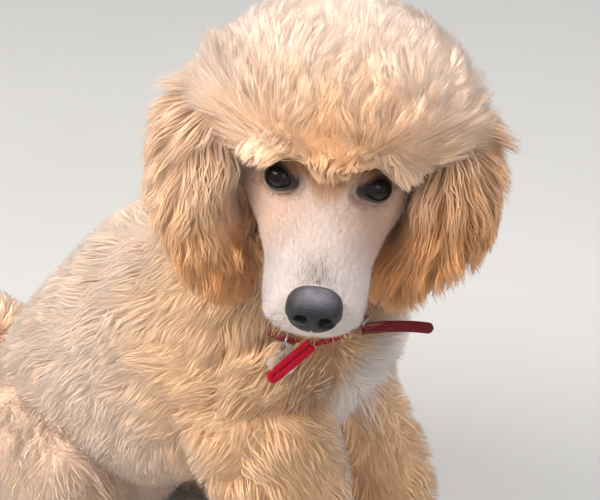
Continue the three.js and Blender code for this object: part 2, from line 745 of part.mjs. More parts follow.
function tagDisc(grow = 0) {
  const disc = new THREE.CylinderGeometry(11.5 + grow, 11.5 + grow, 1.4 + 2 * grow, 20);
  const hole = new THREE.CylinderGeometry(2.2, 2.2, 6, 8);
  const centre = tagHole.clone().addScaledVector(IN_FRONT_DOWN, 8);
  const turn = new THREE.Quaternion().setFromUnitVectors(vec(0, 1, 0), FRONT);
  disc.applyQuaternion(turn).translate(centre.x, centre.y, centre.z);
  hole.applyQuaternion(turn).translate(tagHole.x, tagHole.y, tagHole.z);
  return grow ? solid(disc) : solid(disc).subtract(solid(hole));
}

// Assembly, from the head down: each node is cut by the nodes before it, grown by the gap.
const trimmings = [collarRing, buckleSolid, strapEnd, webLoop, splitRing, tagDisc];
const trimmingsGrown = joined(trimmings.map((make) => make(GAP)));
const headWhole = headSolid();
const headGrown = joined([headWhole, headSolid(GAP)]);
const neckWhole = dressed(neck, coreOf(COAT.neck), neckPlaces);
const neckGrown = joined([neckWhole, dressed(neck, coreOf(COAT.neck), neckPlaces, GAP)]);
const trunkWhole = below(dressed(trunk, coreOf(COAT.body), trunkPlaces), neckCut);
const trunkGrown = joined([
  trunkWhole,
  below(dressed(trunk, coreOf(COAT.body), trunkPlaces, GAP), neckCut),
]);

const sockets = joined([eyeBall(-1, GAP), eyeBall(1, GAP), noseLeather(GAP)]);
addNode("head", headWhole.subtract(sockets).subtract(mouthGroove()), COLOURS.coat);
const nostrils = joined([nostril(-1), nostril(1), noseCleft()]);
addNode("nose", noseLeather().subtract(nostrils), COLOURS.leather, 0.4);
for (const [side, name] of sides) addNode(`eye_${name}`, eyeBall(side), COLOURS.eye, 0.05);

addNode("neck", above(below(neckWhole, headCut), neckCut).subtract(trimmingsGrown), COLOURS.coat);
addNode("torso", floorCut(trunkWhole).subtract(trimmingsGrown), COLOURS.coat);
addNode("collar_strap", collarRing(), COLOURS.collar, 0.6);
addNode("collar_buckle", buckleSolid(), COLOURS.steel, 0.25, 1);
addNode("collar_strap_end", strapEnd(), COLOURS.strap);
addNode("collar_loop", webLoop(), COLOURS.collar, 0.6);
addNode("tag_ring", splitRing(), COLOURS.steel, 0.25, 1);
addNode("tag", tagDisc(), COLOURS.tag, 0.3, 1);

for (const [side, name] of sides) {
  const ear = earForm(side, name);
  const flap = ear.form.build().subtract(ear.cup);
  const hair = joined([flap, ...ear.places.map((place) => tuft(place))]);
  const nearby = joined([headGrown, neckGrown, trunkGrown, trimmingsGrown]);
  const cutEar = hair.subtract(nearby);
  addNode(`ear_${name}`, cutEar, COLOURS.ear);

  const fore = foreleg(side);
  const forePlaces = coatOf(fore, {
    depth: COAT.leg,
    core: coreOf(COAT.leg),
    pitch: 62,
    length: 34,
    seed: 61 + side,
    skip: (base) => trunk.holds(base, 0.75 * COAT.body),
  });
  const forePaw = FORE_PAWS[name];
  const foreLeg = dressed(fore, coreOf(COAT.leg), forePlaces).subtract(trunkGrown);
  addNode(`foreleg_${name}`, foreLeg.trimByPlane([0, 0, 1], FOOT_TOP), COLOURS.coat);

  const ankle = footLump(forePaw, 0, [0, 4, FOOT_TOP], [15, 16, 26], 0, 7, 5);
  const forePawWhole = joined([foot(forePaw, 0), ankle]);
  const forePawSolid = floorCut(forePawWhole.trimByPlane([0, 0, -1], -(FOOT_TOP - GAP)));
  addNode(`forepaw_${name}`, forePawSolid, COLOURS.face);
  const forePawGrown = foot(forePaw, 0, GAP);
  TOES.forEach((toe, i) => {
    const horn = claw(forePaw, 0, toe).subtract(forePawGrown);
    addNode(`foreclaw_${name}_${i + 1}`, horn, COLOURS.claw, 0.4);
  });

  const upper = thigh(side);
  const lower = shank(side);
  const hidden = (base) => trunk.holds(base, 0.75 * COAT.body);
  const upperPlaces = coatOf(upper, {
    depth: COAT.thigh,
    core: coreOf(COAT.thigh),
    pitch: 80,
    length: 40,
    seed: 71 + side,
    skip: hidden,
  });
  const lowerPlaces = coatOf(lower, {
    depth: COAT.shank,
    core: coreOf(COAT.shank),
    pitch: 74,
    length: 30,
    seed: 85 + side,
    skip: (base, tip) => tip.z < 8 || hidden(base) || upper.holds(base, coreOf(COAT.thigh)),
  });
  const heel = pastern(side);
  const heelPlaces = coatOf(heel, {
    depth: COAT.shank,
    core: coreOf(COAT.shank),
    pitch: 54,
    length: 26,
    seed: 101 + side,
    skip: (base, tip) => tip.z < 8 || hidden(base) || lower.holds(base, coreOf(COAT.shank)),
  });
  const hindPaw = vec(side * 92, 96, 0);
  const turn = side * 0.12;
  const leg = (grow) =>
    joined([
      dressed(upper, coreOf(COAT.thigh), upperPlaces, grow),
      dressed(lower, coreOf(COAT.shank), lowerPlaces, grow),
      dressed(heel, coreOf(COAT.shank), heelPlaces, grow),
    ]);
  const pawForm = (grow) => foot(hindPaw, turn, grow);
  const hindLeg = floorCut(leg(0)).subtract(trunkGrown).subtract(pawForm(GAP));
  addNode(`hindleg_${name}`, hindLeg, COLOURS.coat);
  addNode(`hindpaw_${name}`, pawForm(0), COLOURS.face);
  TOES.forEach((toe, i) => {
    const horn = claw(hindPaw, turn, toe).subtract(pawForm(GAP));
    addNode(`hindclaw_${name}_${i + 1}`, horn, COLOURS.claw, 0.4);
  });
}

// The tail is clipped at its root and ends in a round pompom.
const POMPOM = { centre: vec(8, 366, 122), radius: 50, core: 27 };
const pompom = sweptForm(
  [-1, 0, 1].map((step) => ({
    at: [POMPOM.centre.x, POMPOM.centre.y + step * POMPOM.core, POMPOM.centre.z],
    wide: POMPOM.core,
    deep: POMPOM.core,
  })),
  { around: 12, along: 8, cap: 0.5 },
);
const pompomPlaces = coatOf(pompom, {
  depth: POMPOM.radius - POMPOM.core,
  core: 0,
  pitch: 52,
  length: 16,
  seed: 95,
});
addNode("tail", tail.build().subtract(trunkGrown), COLOURS.coat);
addNode("tail_pompom", dressed(pompom, 0, pompomPlaces).subtract(tail.build(GAP)), COLOURS.coat);

export default root;
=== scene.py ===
# %% [markdown]
# # A sitting standard poodle puppy, from forms to fur
#
# This lesson builds a young standard poodle that sits on the floor and looks back over its right
# shoulder. Its body is one continuous skin, and its coat is thousands of small closed tufts that grow
# out of that skin.
#
# The solid model comes first. It is loaded as a fixed frame in metres. Nothing that is made here may
# change the size of the dog.

# %% Load the solid model
import math

import bmesh
import bpy
import numpy as np
from mathutils import Matrix, Vector
from mathutils.kdtree import KDTree


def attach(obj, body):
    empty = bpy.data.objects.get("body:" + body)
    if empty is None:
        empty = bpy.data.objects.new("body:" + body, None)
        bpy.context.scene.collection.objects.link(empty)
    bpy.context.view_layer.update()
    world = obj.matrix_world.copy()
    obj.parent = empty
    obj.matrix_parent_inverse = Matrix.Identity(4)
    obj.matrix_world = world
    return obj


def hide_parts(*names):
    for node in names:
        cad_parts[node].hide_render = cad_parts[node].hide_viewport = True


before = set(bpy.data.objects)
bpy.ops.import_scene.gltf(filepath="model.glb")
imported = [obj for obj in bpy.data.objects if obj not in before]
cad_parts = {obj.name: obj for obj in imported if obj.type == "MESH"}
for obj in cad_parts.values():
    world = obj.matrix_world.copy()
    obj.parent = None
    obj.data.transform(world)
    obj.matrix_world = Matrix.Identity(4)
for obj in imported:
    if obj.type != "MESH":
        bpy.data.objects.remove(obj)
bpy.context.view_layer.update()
bpy.ops.object.select_all(action="DESELECT")

# %% [markdown]
# The driving sizes are named once, in millimetres, in the dog's own frame: the chest faces -Y, the
# dog's left side is +X and the floor is at zero. The stance shifts that frame so that the whole dog
# stands over the origin.
#
# The head has a frame of its own, with x to the dog's left, y backwards and z up from the point midway
# between the eyes. Numbers could also be typed straight into world space, but a turned head is far
# easier to shape when its own left and right are the axes.

# %% Driving sizes
MM = 0.001
STANCE = np.array([0.0, -95.0, 0.0])
EYES = np.array([-62.0, -144.0, 525.0])
HEAD_YAW, HEAD_PITCH, HEAD_ROLL = -54.0, 17.7, 6.6
EYE_SPREAD, EYE_LIFT, EYE_RADIUS = 28.0, 3.0, 11.0
EYE_AT = {side: np.array([side * EYE_SPREAD, 0, EYE_LIFT]) for side in (-1, 1)}
COAT = {"body": 34, "neck": 30, "leg": 25, "thigh": 27, "shank": 22, "ear": 19, "pompom": 22, "tail": 3}
TOPKNOT_CENTRE = np.array([0.0, 38.0, 38.0])
TOPKNOT_RADII = np.array([86.0, 70.0, 58.0])
TOPKNOT_CORE = np.array([66.0, 54.0, 38.0])
CORE_SHARE = 0.45
CROWN_DEPTH, THROAT_DEPTH = 20, 9
POMPOM = (8, 366, 122)
BRIM_RISE = np.array([0, 0.74, 0.67])


def turned(axis, degrees):
    return np.array(Matrix.Rotation(math.radians(degrees), 3, axis))


HEAD_TURN = turned("Z", HEAD_YAW) @ turned("X", HEAD_PITCH) @ turned("Y", HEAD_ROLL)


def on_head(points):
    """Points of the head's frame, in the dog's frame."""
    return np.asarray(points, float) @ HEAD_TURN.T + EYES


def head_way(ways):
    return np.asarray(ways, float) @ HEAD_TURN.T


def from_world(points):
    """World points in metres, in the dog's frame."""
    return np.asarray(points, float) / MM - STANCE


def to_head(points):
    """Points of the dog's frame, in the head's frame."""
    return (np.asarray(points, float) - EYES) @ HEAD_TURN


def to_world(points):
    return (np.asarray(points, float) + STANCE) * MM


def smooth(value, low, high):
    share = np.clip((value - low) / (high - low), 0, 1)
    return share * share * (3 - 2 * share)


def bell(value, centre, spread):
    return np.exp(-(((value - centre) / spread) ** 2))


def unit(ways):
    ways = np.asarray(ways, float)
    return ways / np.maximum(np.linalg.norm(ways, axis=-1, keepdims=True), 1e-9)


def flattened(ways, axis):
    """Ways without their part along an axis of unit length."""
    return ways - axis * np.sum(ways * axis, axis=-1, keepdims=True)


# %% [markdown]
# Shapes begin as primitives, and their points are then moved by arrays, which is exact and fast. A few
# small tools read and write points and keep the selection clean, so that each later cell is about a
# form.


# %% Small tools
def read_values(items, field, width, kind=float):
    """One field of many mesh items, as a table with a row for each item."""
    values = np.empty(len(items) * width, dtype=kind)
    items.foreach_get(field, values)
    return values.reshape(-1, width)


def read_points(made):
    return read_values(made.data.vertices, "co", 3)


def write_points(made, points):
    made.data.vertices.foreach_set("co", np.ascontiguousarray(points).ravel())
    made.data.update()


def add_ball(name, segments, rows):
    """A sphere of radius one round the origin."""
    bpy.ops.mesh.primitive_uv_sphere_add(segments=segments, ring_count=rows, radius=1)
    bpy.context.object.name = name
    return bpy.context.object


def select_only(*chosen):
    bpy.ops.object.select_all(action="DESELECT")
    for made in chosen:
        made.select_set(True)
    bpy.context.view_layer.objects.active = chosen[0]


def joined(name, parts):
    select_only(*parts)
    bpy.ops.object.join()
    parts[0].name = name
    return parts[0]


def apply_modifiers(made):
    bpy.context.view_layer.objects.active = made
    for modifier in [modifier.name for modifier in made.modifiers]:
        bpy.ops.object.modifier_apply(modifier=modifier)


# %% [markdown]
# The camera comes early, because it decides which parts get the closest look. It stands a little above
# the dog, to its right, and looks down into its face. The aim is turned so that the point between the
# eyes lands where it does in the picture, which leaves the lens centred and the frame unshifted.

# %% Camera
FRAME_WIDTH = 600
FOCAL_PIXELS = 1305
CAMERA_AZIMUTH, CAMERA_RISE, CAMERA_DISTANCE = -50, 30, 800
EYES_IN_FRAME = (27, -66)

azimuth, rise = math.radians(CAMERA_AZIMUTH), math.radians(CAMERA_RISE)
back = np.array([math.sin(azimuth) * math.cos(rise), -math.cos(azimuth) * math.cos(rise), math.sin(rise)])
sight = EYES + STANCE
camera_at = sight + back * CAMERA_DISTANCE
side_way = unit(np.cross(-back, [0, 0, 1]))
up_way = np.cross(side_way, -back)
aside, upward = np.array(EYES_IN_FRAME) / FOCAL_PIXELS
aim = unit(-back - side_way * aside + up_way * upward)
aim_side = unit(np.cross(aim, [0, 0, 1]))
aim_up = np.cross(aim_side, aim)
bpy.ops.object.camera_add()
camera = bpy.context.object
camera.name = "camera"
camera.data.sensor_width = 36
camera.data.lens = 36 * FOCAL_PIXELS / FRAME_WIDTH
camera.data.clip_start = 0.01
turn = Matrix(np.column_stack([aim_side, aim_up, -aim]).tolist()).to_4x4()
camera.matrix_world = Matrix.Translation(Vector(camera_at * MM)) @ turn
bpy.context.scene.camera = camera
bpy.context.scene.view_settings.view_transform = "Standard"
print("camera at", np.round(camera_at * MM, 3), "lens", round(camera.data.lens, 1))

# %% [markdown]
# Every limb is a form swept through a few rings, and each ring is a place with a half width and half
# depths. A smooth curve carries the sizes from ring to ring, and both ends close in round.
#
# Such a form could be lofted from curve objects, but a sphere does the same with clean faces: its
# height tells how far along the form a vertex belongs, and its longitude tells where round it.


# %% Swept forms
def spline(points, share):
    """A centripetal curve through points, at shares from 0 to 1."""
    points = np.asarray(points, float)
    ends = [2 * points[0] - points[1], *points, 2 * points[-1] - points[-2]]
    padded = np.array(ends)
    place = np.clip(np.asarray(share, float), 0, 1) * (len(points) - 1)
    index = np.minimum(place.astype(int), len(points) - 2)
    local = (place - index)[:, None]
    p0, p1, p2, p3 = (padded[index + k] for k in range(4))
    pairs = ((p0, p1), (p1, p2), (p2, p3))
    gap = [np.maximum(np.linalg.norm(b - a, axis=1, keepdims=True), 1e-6) ** 0.5 for a, b in pairs]
    start = ((p1 - p0) / gap[0] - (p2 - p0) / (gap[0] + gap[1]) + (p2 - p1) / gap[1]) * gap[1]
    finish = ((p2 - p1) / gap[1] - (p3 - p1) / (gap[1] + gap[2]) + (p3 - p2) / gap[2]) * gap[1]
    square, cube = local**2, local**3
    return (
        p1 * (2 * cube - 3 * square + 1)
        + start * (cube - 2 * square + local)
        + p2 * (3 * square - 2 * cube)
        + finish * (cube - square)
    )


class Form:
    """A swept form: rings of (x, y, z, half width, half depth above, half depth below)."""

    def __init__(self, rings, cap=0.12, square=2.0, across=(1, 0, 0), shape=None):
        rings = [ring if len(ring) == 6 else (*ring, ring[4]) for ring in rings]
        self.places = [ring[:3] for ring in rings]
        self.sizes = [ring[3:] for ring in rings]
        self.cap, self.square, self.across, self.shape = cap, square, np.array(across, float), shape

    def at(self, share, angle, grow=0.0):
        share, angle = np.asarray(share, float), np.asarray(angle, float)
        inset = np.clip(np.minimum(share, 1 - share) / self.cap, 0, 1)
        closed = np.sqrt(np.maximum(0, 1 - (1 - inset) ** 2))[:, None]
        ahead = unit(spline(self.places, share + 0.002) - spline(self.places, share - 0.002))
        side = unit(self.across - ahead * (ahead @ self.across)[:, None])
        above = np.cross(side, ahead)
        size = spline(self.sizes, share)
        deep = np.where(np.sin(angle) > 0, size[:, 1], size[:, 2])[:, None] + grow
        wide = size[:, :1] + grow
        cosine, sine = np.cos(angle)[:, None], np.sin(angle)[:, None]
        power = 2 / self.square
        point = spline(self.places, share)
        point = point + side * closed * wide * np.sign(cosine) * np.abs(cosine) ** power
        point = point + above * closed * deep * np.sign(sine) * np.abs(sine) ** power
        return self.shape(point) if self.shape else point


def unmoved(points):
    return points


def shaped_sphere(name, form, grow=0.0, segments=48, rows=48, place=unmoved):
    made = add_ball(name, segments, rows)
    ball = read_points(made)
    share = (1 - np.clip(ball[:, 2], -1, 1)) / 2
    points = place(form.at(share, np.arctan2(ball[:, 1], ball[:, 0]), grow))
    write_points(made, to_world(points))
    return made


def lump(name, centre, radii, turn=0.0, segments=24, rows=16, place=unmoved):
    made = add_ball(name, segments, rows)
    points = (read_points(made) * np.array(radii)) @ turned("Z", math.degrees(turn)).T
    write_points(made, to_world(place(points + np.array(centre))))
    return made


# %% [markdown]
# The forms are the clipped dog: the trunk as the dog sits, a neck that twists towards the picture,
# straight forelegs, folded hind legs and the root of the tail. These are the same rings as in the solid
# model, so the skin lies inside it by the depth of the coat. The rings come from the photograph where
# it shows the dog and from the breed elsewhere.

# %% Rings of the body
TRUNK = Form(
    [
        (0, -112, 308, 54, 56, 64), (0, -74, 324, 66, 76, 84), (0, -24, 328, 75, 86),
        (0, 36, 296, 77, 86, 90), (0, 98, 240, 75, 80, 84), (0, 156, 178, 72, 76),
        (0, 200, 108, 74, 72, 76), (0, 222, 42, 66, 60, 56), (0, 226, 10, 58, 50),
    ],
    cap=0.13,
)
NECK = Form(
    [
        (0, -28, 350, 74, 70), (-2, -48, 410, 62, 58, 62), (-8, -76, 468, 54, 46, 56),
        (-12, -98, 520, 48, 36, 52), (-12, -106, 552, 42, 30, 46),
    ],
    cap=0.1,
)
FORELEG = {
    -1: [
        (54, -60, 330, 30, 46), (51, -68, 285, 32, 45), (46, -83, 238, 31, 38), (44, -102, 160, 26, 28),
        (44, -111, 85, 21, 23), (44, -114, 36, 20, 21), (44, -117, 16, 18, 20),
    ],
    1: [
        (50, -58, 330, 28, 44), (52, -50, 285, 28, 38), (60, -56, 238, 27, 31), (74, -89, 160, 26, 29),
        (75, -104, 85, 21, 23), (73, -108, 36, 20, 21), (73, -111, 16, 18, 20),
    ],
}
THIGH = [
    (58, 236, 92, 34, 44), (66, 200, 116, 42, 70), (78, 152, 134, 40, 66), (86, 110, 146, 33, 48),
    (89, 80, 148, 27, 34),
]
SHANK = [(90, 92, 134, 27, 34), (90, 140, 96, 24, 30), (88, 184, 62, 20, 24), (88, 200, 46, 18, 21)]
PASTERN = [(88, 208, 34, 17, 19), (90, 160, 28, 18, 18), (92, 118, 24, 18, 16)]
TAIL = [(0, 246, 78, 19, 19), (0, 292, 74, 15, 15), (4, 330, 84, 12, 12), (8, 358, 110, 10, 10)]
EAR_PATHS = {
    -1: [(-6, -10, 9, 18), (18, 10, 16, 27), (28, 48, 19, 32), (19, 94, 16, 30), (10, 130, 9, 20)],
    1: [(-6, -10, 9, 18), (12, 12, 15, 27), (14, 50, 17, 31), (-9, 84, 14, 27), (-32, 106, 9, 19)],
}
FORE_PAW, HIND_PAW, HIND_TURN = {-1: (44, -121, 0), 1: (73, -115, 0)}, (92, 96, 0), 0.12
TOES = [(-15, -10), (-5.4, -19), (5.4, -19), (15, -10)]


def mirrored(side, rings):
    return [(side * ring[0], *ring[1:]) for ring in rings]


def ear_form(side):
    start = on_head([side * 60, 40, 18])
    out = head_way([side, 0, 0])
    out[2] = 0
    out = unit(out)
    rings = []
    for outward, lower, thick, broad in EAR_PATHS[side]:
        at = start + out * outward + np.array([0, 0, -lower])
        rings.append((*at, thick * 0.62, broad * 0.92, broad * 0.92))
    return Form(rings, cap=0.2, across=out), out


# %% [markdown]
# The head is swept in its own frame. A box-like section gives the flat sides of a clipped muzzle, and a
# shaping function adds what rings can't: a narrower bridge over full lips, a dip at each eye, the brow
# above and a cheek.


# %% Rings of the head
def face_shape(points):
    x, y, z = points.T
    side = np.where(x < 0, -1.0, 1.0)
    bridge = bell(y, -48, 34) * smooth(z, -34, 2)
    dip = bell(np.abs(x), EYE_SPREAD + 4, 11) * bell(y, -5, 12) * bell(z, 4 + EYE_LIFT, 16)
    brow = bell(np.abs(x), EYE_SPREAD - 3, 15) * bell(y, 10, 9) * bell(z, 18 + EYE_LIFT, 12)
    cheek = bell(y, 14, 16) * bell(z, -16, 18) * smooth(np.abs(x), 25, 45)
    stop = bell(x, 0, 9) * bell(y, -6, 14) * smooth(z, -5, 12)
    across = x * (1 - 0.2 * bridge) + side * (2.5 * cheek - 3 * dip)
    behind = y + 5 * dip - 2.5 * brow + 1.5 * stop
    return np.column_stack([across, behind, z - 1.5 * dip + 2 * brow - 2 * stop])


HEAD = Form(
    [
        (0, -86, -30, 22, 15, 18), (0, -76, -29, 28, 20, 23.5), (0, -58, -27, 31, 22, 25),
        (0, -36, -25, 33, 23, 24), (0, -14, -22, 40, 26, 28), (0, 4, -18, 48, 37, 33),
        (0, 28, -12, 53, 45, 38), (0, 56, -6, 52, 44, 40), (0, 84, 0, 44, 34, 36),
        (0, 104, 2, 32, 22, 26),
    ],
    cap=0.1,
    square=2.3,
    shape=face_shape,
)

# %% [markdown]
# All forms are joined into one skin. A boolean union would leave hard creases where they cross, so the
# pieces are remeshed together on a fine grid, which welds them, and then smoothed, which fills the
# folds as flesh would. Nothing is left of the seams between neck, shoulder and leg.

# %% One skin
BODY = {"trunk": (TRUNK, "body"), "neck": (NECK, "neck"), "tail": (Form(TAIL), "tail")}
for side, name in ((-1, "right"), (1, "left")):
    BODY["foreleg_" + name] = (Form(mirrored(side, FORELEG[side]), cap=0.08), "leg")
    BODY["thigh_" + name] = (Form(mirrored(side, THIGH), cap=0.16), "thigh")
    BODY["shank_" + name] = (Form(mirrored(side, SHANK), cap=0.12), "shank")
    BODY["pastern_" + name] = (Form(mirrored(side, PASTERN), cap=0.14), "shank")
    BODY["ear_" + name] = (ear_form(side)[0], "ear")
parts = [shaped_sphere(name, form, CORE_SHARE * COAT[kind]) for name, (form, kind) in BODY.items()]
parts.append(shaped_sphere("skull", HEAD, 0, 96, 96, on_head))
parts.append(lump("crown", TOPKNOT_CENTRE, TOPKNOT_CORE, 0, 64, 48, on_head))
for side in (-1, 1):
    for paw, twist in ((FORE_PAW[side], 0), (HIND_PAW, side * HIND_TURN)):
        base = np.array([side * paw[0], paw[1], 0])
        spin = turned("Z", math.degrees(twist))
        parts.append(lump("pad", base + spin @ [0, 8, 15], (18.5, 24.5, 15.5), twist))
        for x, y in TOES:
            parts.append(lump("toe", base + spin @ [x, y, 10], (6.6, 14.5, 10.2), twist))
parts.append(lump("pompom", POMPOM, (28, 28, 28)))
skin = joined("skin", parts)
skin.data.name = "skin"
weld = skin.modifiers.new("weld", "REMESH")
weld.mode = "VOXEL"
weld.voxel_size = 0.003
soften = skin.modifiers.new("soften", "SMOOTH")
soften.factor = 0.5
soften.iterations = 5
apply_modifiers(skin)
flat = read_points(skin)
flat[:, 2] = np.maximum(flat[:, 2], 0.0004)
write_points(skin, flat)
print("skin:", len(skin.data.vertices), "vertices")

# %% [markdown]
# The face needs finer faces than the body, for the lids, the lips and the corners of the mouth. Only
# that region is divided, once over the whole face and once more round the eyes and along the mouth. A
# shrinkwrap then pulls it back onto the smooth swept head, so that the grid of the remesh leaves no
# trace.

# %% Finer faces on the face
LIP_LINE = [
    (35, -18, -40), (33.5, -36, -41.5), (31.5, -56, -41.5), (27, -72, -39.5), (16, -86, -38),
    (0, -93, -36.5),
]
left_lip = spline(LIP_LINE, np.linspace(0, 1, 90))
LIPS = np.vstack([left_lip, left_lip[::-1] * [-1, 1, 1]])


def lip_distance(points):
    """The distance from each point to the line of the mouth, and the nearest point's index."""
    apart = np.linalg.norm(points[:, None, :] - LIPS[None, :, :], axis=2)
    return apart.min(axis=1), apart.argmin(axis=1)


def divide(made, wanted):
    """Divide the faces whose centres, in the head's frame, are wanted."""
    mesh = bmesh.new()
    mesh.from_mesh(made.data)
    centres = to_head(from_world([face.calc_center_median() for face in mesh.faces]))
    chosen = wanted(centres)
    edges = {edge for face, keep in zip(mesh.faces, chosen) if keep for edge in face.edges}
    bmesh.ops.subdivide_edges(mesh, edges=list(edges), cuts=1, use_grid_fill=True)
    mesh.to_mesh(made.data)
    mesh.free()
    made.data.update()
    return int(chosen.sum())


def in_face(points):
    x, y, z = points.T
    return (y < 26) & (y > -110) & (np.abs(x) < 54) & (z > -66) & (z < 34)


def near_features(points):
    near_eye = [np.linalg.norm(points - EYE_AT[side], axis=1) for side in (-1, 1)]
    wanted = np.minimum(*near_eye) < 20
    face = np.flatnonzero(in_face(points) & (points[:, 1] < -8))
    wanted[face] |= lip_distance(points[face])[0] < 7
    return wanted


counts = [divide(skin, in_face), divide(skin, near_features)]
local = to_head(from_world(read_points(skin)))
pull = smooth(-local[:, 1], -34, -20) * smooth(50 - np.abs(local[:, 0]), -6, 2)
pull *= smooth(local[:, 2], -72, -60) * smooth(-local[:, 2], -40, -30)
pull *= np.linalg.norm(local - [0, -30, -20], axis=1) < 110
group = skin.vertex_groups.new(name="face")
for level in np.linspace(0.1, 1, 10):
    chosen = np.flatnonzero(np.abs(pull - level) < 0.05)
    if len(chosen):
        group.add(chosen.tolist(), float(level), "REPLACE")
target = shaped_sphere("smooth_head", HEAD, 0, 200, 200, on_head)
wrap = skin.modifiers.new("wrap", "SHRINKWRAP")
wrap.target = target
wrap.vertex_group = "face"
apply_modifiers(skin)
bpy.data.objects.remove(target)
print("divided faces:", counts, "vertices now", len(skin.data.vertices))

# %% [markdown]
# The features are then pressed into the fine faces, by formulas in the head's frame.
#
# - An eye opening is an almond on the ball of the eye. Inside it the skin goes behind the ball, at its
#   edge stands the lid, as thick as a lid is, and a fold runs above it.
# - The mouth is a crease with fuller lips over it.
# - A short groove joins the nose to the mouth.
#
# Sculpting by hand would do as well, but a formula keeps both sides alike and can be turned a little in
# one number.

# %% Lids, lips and folds
EYE_LOOK = unit(np.array([0.36, -0.74, 0.57]))
OPENING = (7.8, 6.9)
LID = 1.3


def eye_axes(side):
    look = EYE_LOOK * [side, 1, 1]
    outward = unit(np.cross([0, 0.3, 1.0], look)) * -1
    outward = outward if outward[0] * side > 0 else -outward
    raised = np.cross(outward, look)
    raised = raised if raised[2] > 0 else -raised
    return look, unit(outward + 0.06 * raised), unit(raised - 0.06 * outward)


def eye_opening(points, side):
    """How far each point is from the middle of the opening, where 1 is its edge, and its parts."""
    look, outward, raised = eye_axes(side)
    apart = points - EYE_AT[side]
    ahead, out, high = apart @ look, apart @ outward, apart @ raised
    inner = np.clip(-out / OPENING[0], 0, 1.6)
    wide = OPENING[0] * (1 + 0.12 * inner)
    tall = OPENING[1] * (1 - 0.12 * inner)
    high_here = high + 0.5 * inner**2
    return np.sqrt((out / wide) ** 2 + (high_here / tall) ** 2), ahead, out, high


local = to_head(from_world(read_points(skin)))
near_head = np.linalg.norm(local - [0, -30, -10], axis=1) < 120
rim = np.zeros(len(local))
for side in (-1, 1):
    look, outward, raised = eye_axes(side)
    away, ahead, out, high = eye_opening(local, side)
    near = (away < 2.6) & (ahead > -4) & near_head
    ball = np.sqrt(np.maximum(EYE_RADIUS**2 - out**2 - high**2, 0))
    lid = ball + LID - 1.2 * smooth(away, 1.25, 1.8)
    held = 1 - smooth(away, 1.3, 2.3)
    target_ahead = np.where(away < 1, ball - 4.5 * smooth(1 - away, 0, 0.12), lid)
    fold = 0.45 * bell(away, 1.6, 0.12) * smooth(high, 0, 4)
    moved = (target_ahead - ahead) * held - fold
    local[near] += look * moved[near][:, None]
    rim[near] = np.maximum(rim[near], 1 - smooth(away[near], 1.22, 1.5))
face = np.flatnonzero(in_face(local) & (local[:, 1] < -8) & near_head)
distance, nearest = lip_distance(local[face])
over = local[face, 2] - LIPS[nearest, 2]
inward = unit(np.column_stack([-local[face, 0], 0 * over, 0 * over + 6.0]) * [1, 1, 0] + [0, 0.8, 0])
crease = 2.3 * bell(distance, 0, 1.15)
upper_lip = 1.5 * bell(distance, 4.5, 3.4) * (over > 0)
lower_lip = 0.6 * bell(distance, 3.5, 2.5) * (over < 0)
local[face] += inward * (crease - upper_lip - lower_lip)[:, None]
groove = 1.3 * bell(local[:, 0], 0, 1.1) * smooth(-local[:, 1], 80, 88) * smooth(-local[:, 2], 26, 30)
local[:, 1] += groove * smooth(local[:, 2], -42, -37)
write_points(skin, to_world(on_head(local)))
print("lid points:", int((rim > 0.5).sum()), "lip points:", int((distance < 2).sum()))

# %% [markdown]
# Each point of the skin is told what grows there: how deep the coat is, which way it lies and which
# marking it has. The nearest swept form answers the first two. A brush could paint them, but a rule
# stays right when a form moves.
#
# The lie is smoothed over neighbouring points, so that the fur turns gently from one limb into the
# next.

# %% What grows where
REGIONS = {}


def sample_form(label, form, depth, along, down, grow=0.0, place=unmoved, count=(60, 40)):
    """Points over a form, each with the lie and the depth of the coat there."""
    rounds = np.linspace(0, 2 * np.pi, count[1], endpoint=False)
    shares, angles = (table.ravel() for table in np.meshgrid(np.linspace(0.02, 0.98, count[0]), rounds))
    points = place(form.at(shares, angles, grow))
    before, after = (place(form.at(shares + step, angles, grow)) for step in (-0.01, 0.01))
    ahead = unit(after - before)
    lies = ahead * along + np.array([0, 0, -down])
    REGIONS[label] = (points, lies, np.full(len(points), float(depth)))


LIES = {
    "body": (1, 0.8), "neck": (-1, 0.9), "tail": (1, 0), "leg": (1, 0.6), "thigh": (1, 1.0),
    "shank": (1, 0.6), "ear": (0.3, 1.3),
}
for label, (form, kind) in BODY.items():
    sample_form(label, form, COAT[kind] * (1 - CORE_SHARE), *LIES[kind], COAT[kind] * CORE_SHARE)
sample_form("head", HEAD, 0, 1, 0, 0, on_head, (90, 60))
for side, name in ((-1, "right"), (1, "left")):
    for paw, kind in ((FORE_PAW[side], "forepaw_"), (HIND_PAW, "hindpaw_")):
        spots = np.array([(x, y, 9) for x, y in TOES] + [(0, 4, 12)]) + [side * paw[0], paw[1], 0]
        REGIONS[kind + name] = (spots, np.tile([0.0, -1.0, -0.4], (5, 1)), np.zeros(5))
labels = list(REGIONS)
samples, sample_lies, sample_depths = (np.concatenate(tables) for tables in zip(*REGIONS.values()))
sample_owners = np.repeat(np.arange(len(labels)), [len(points) for points, _, _ in REGIONS.values()])
sample_tree = KDTree(len(samples))
for number, point in enumerate(samples):
    sample_tree.insert(point, number)
sample_tree.balance()
body_points = from_world(read_points(skin))
found = np.array([sample_tree.find(point)[1] for point in body_points])
owner = sample_owners[found]
pompom_near = np.linalg.norm(body_points - POMPOM, axis=1) < 34
local = to_head(body_points)
print("regions:", {label: int((owner == number).sum()) for number, label in enumerate(labels)})


# %% [markdown]
# The topknot has its own rule. It starts at a scissored edge that runs from a point between the eyes,
# over each eye, to the temple, and everything above that line grows out to one dome.


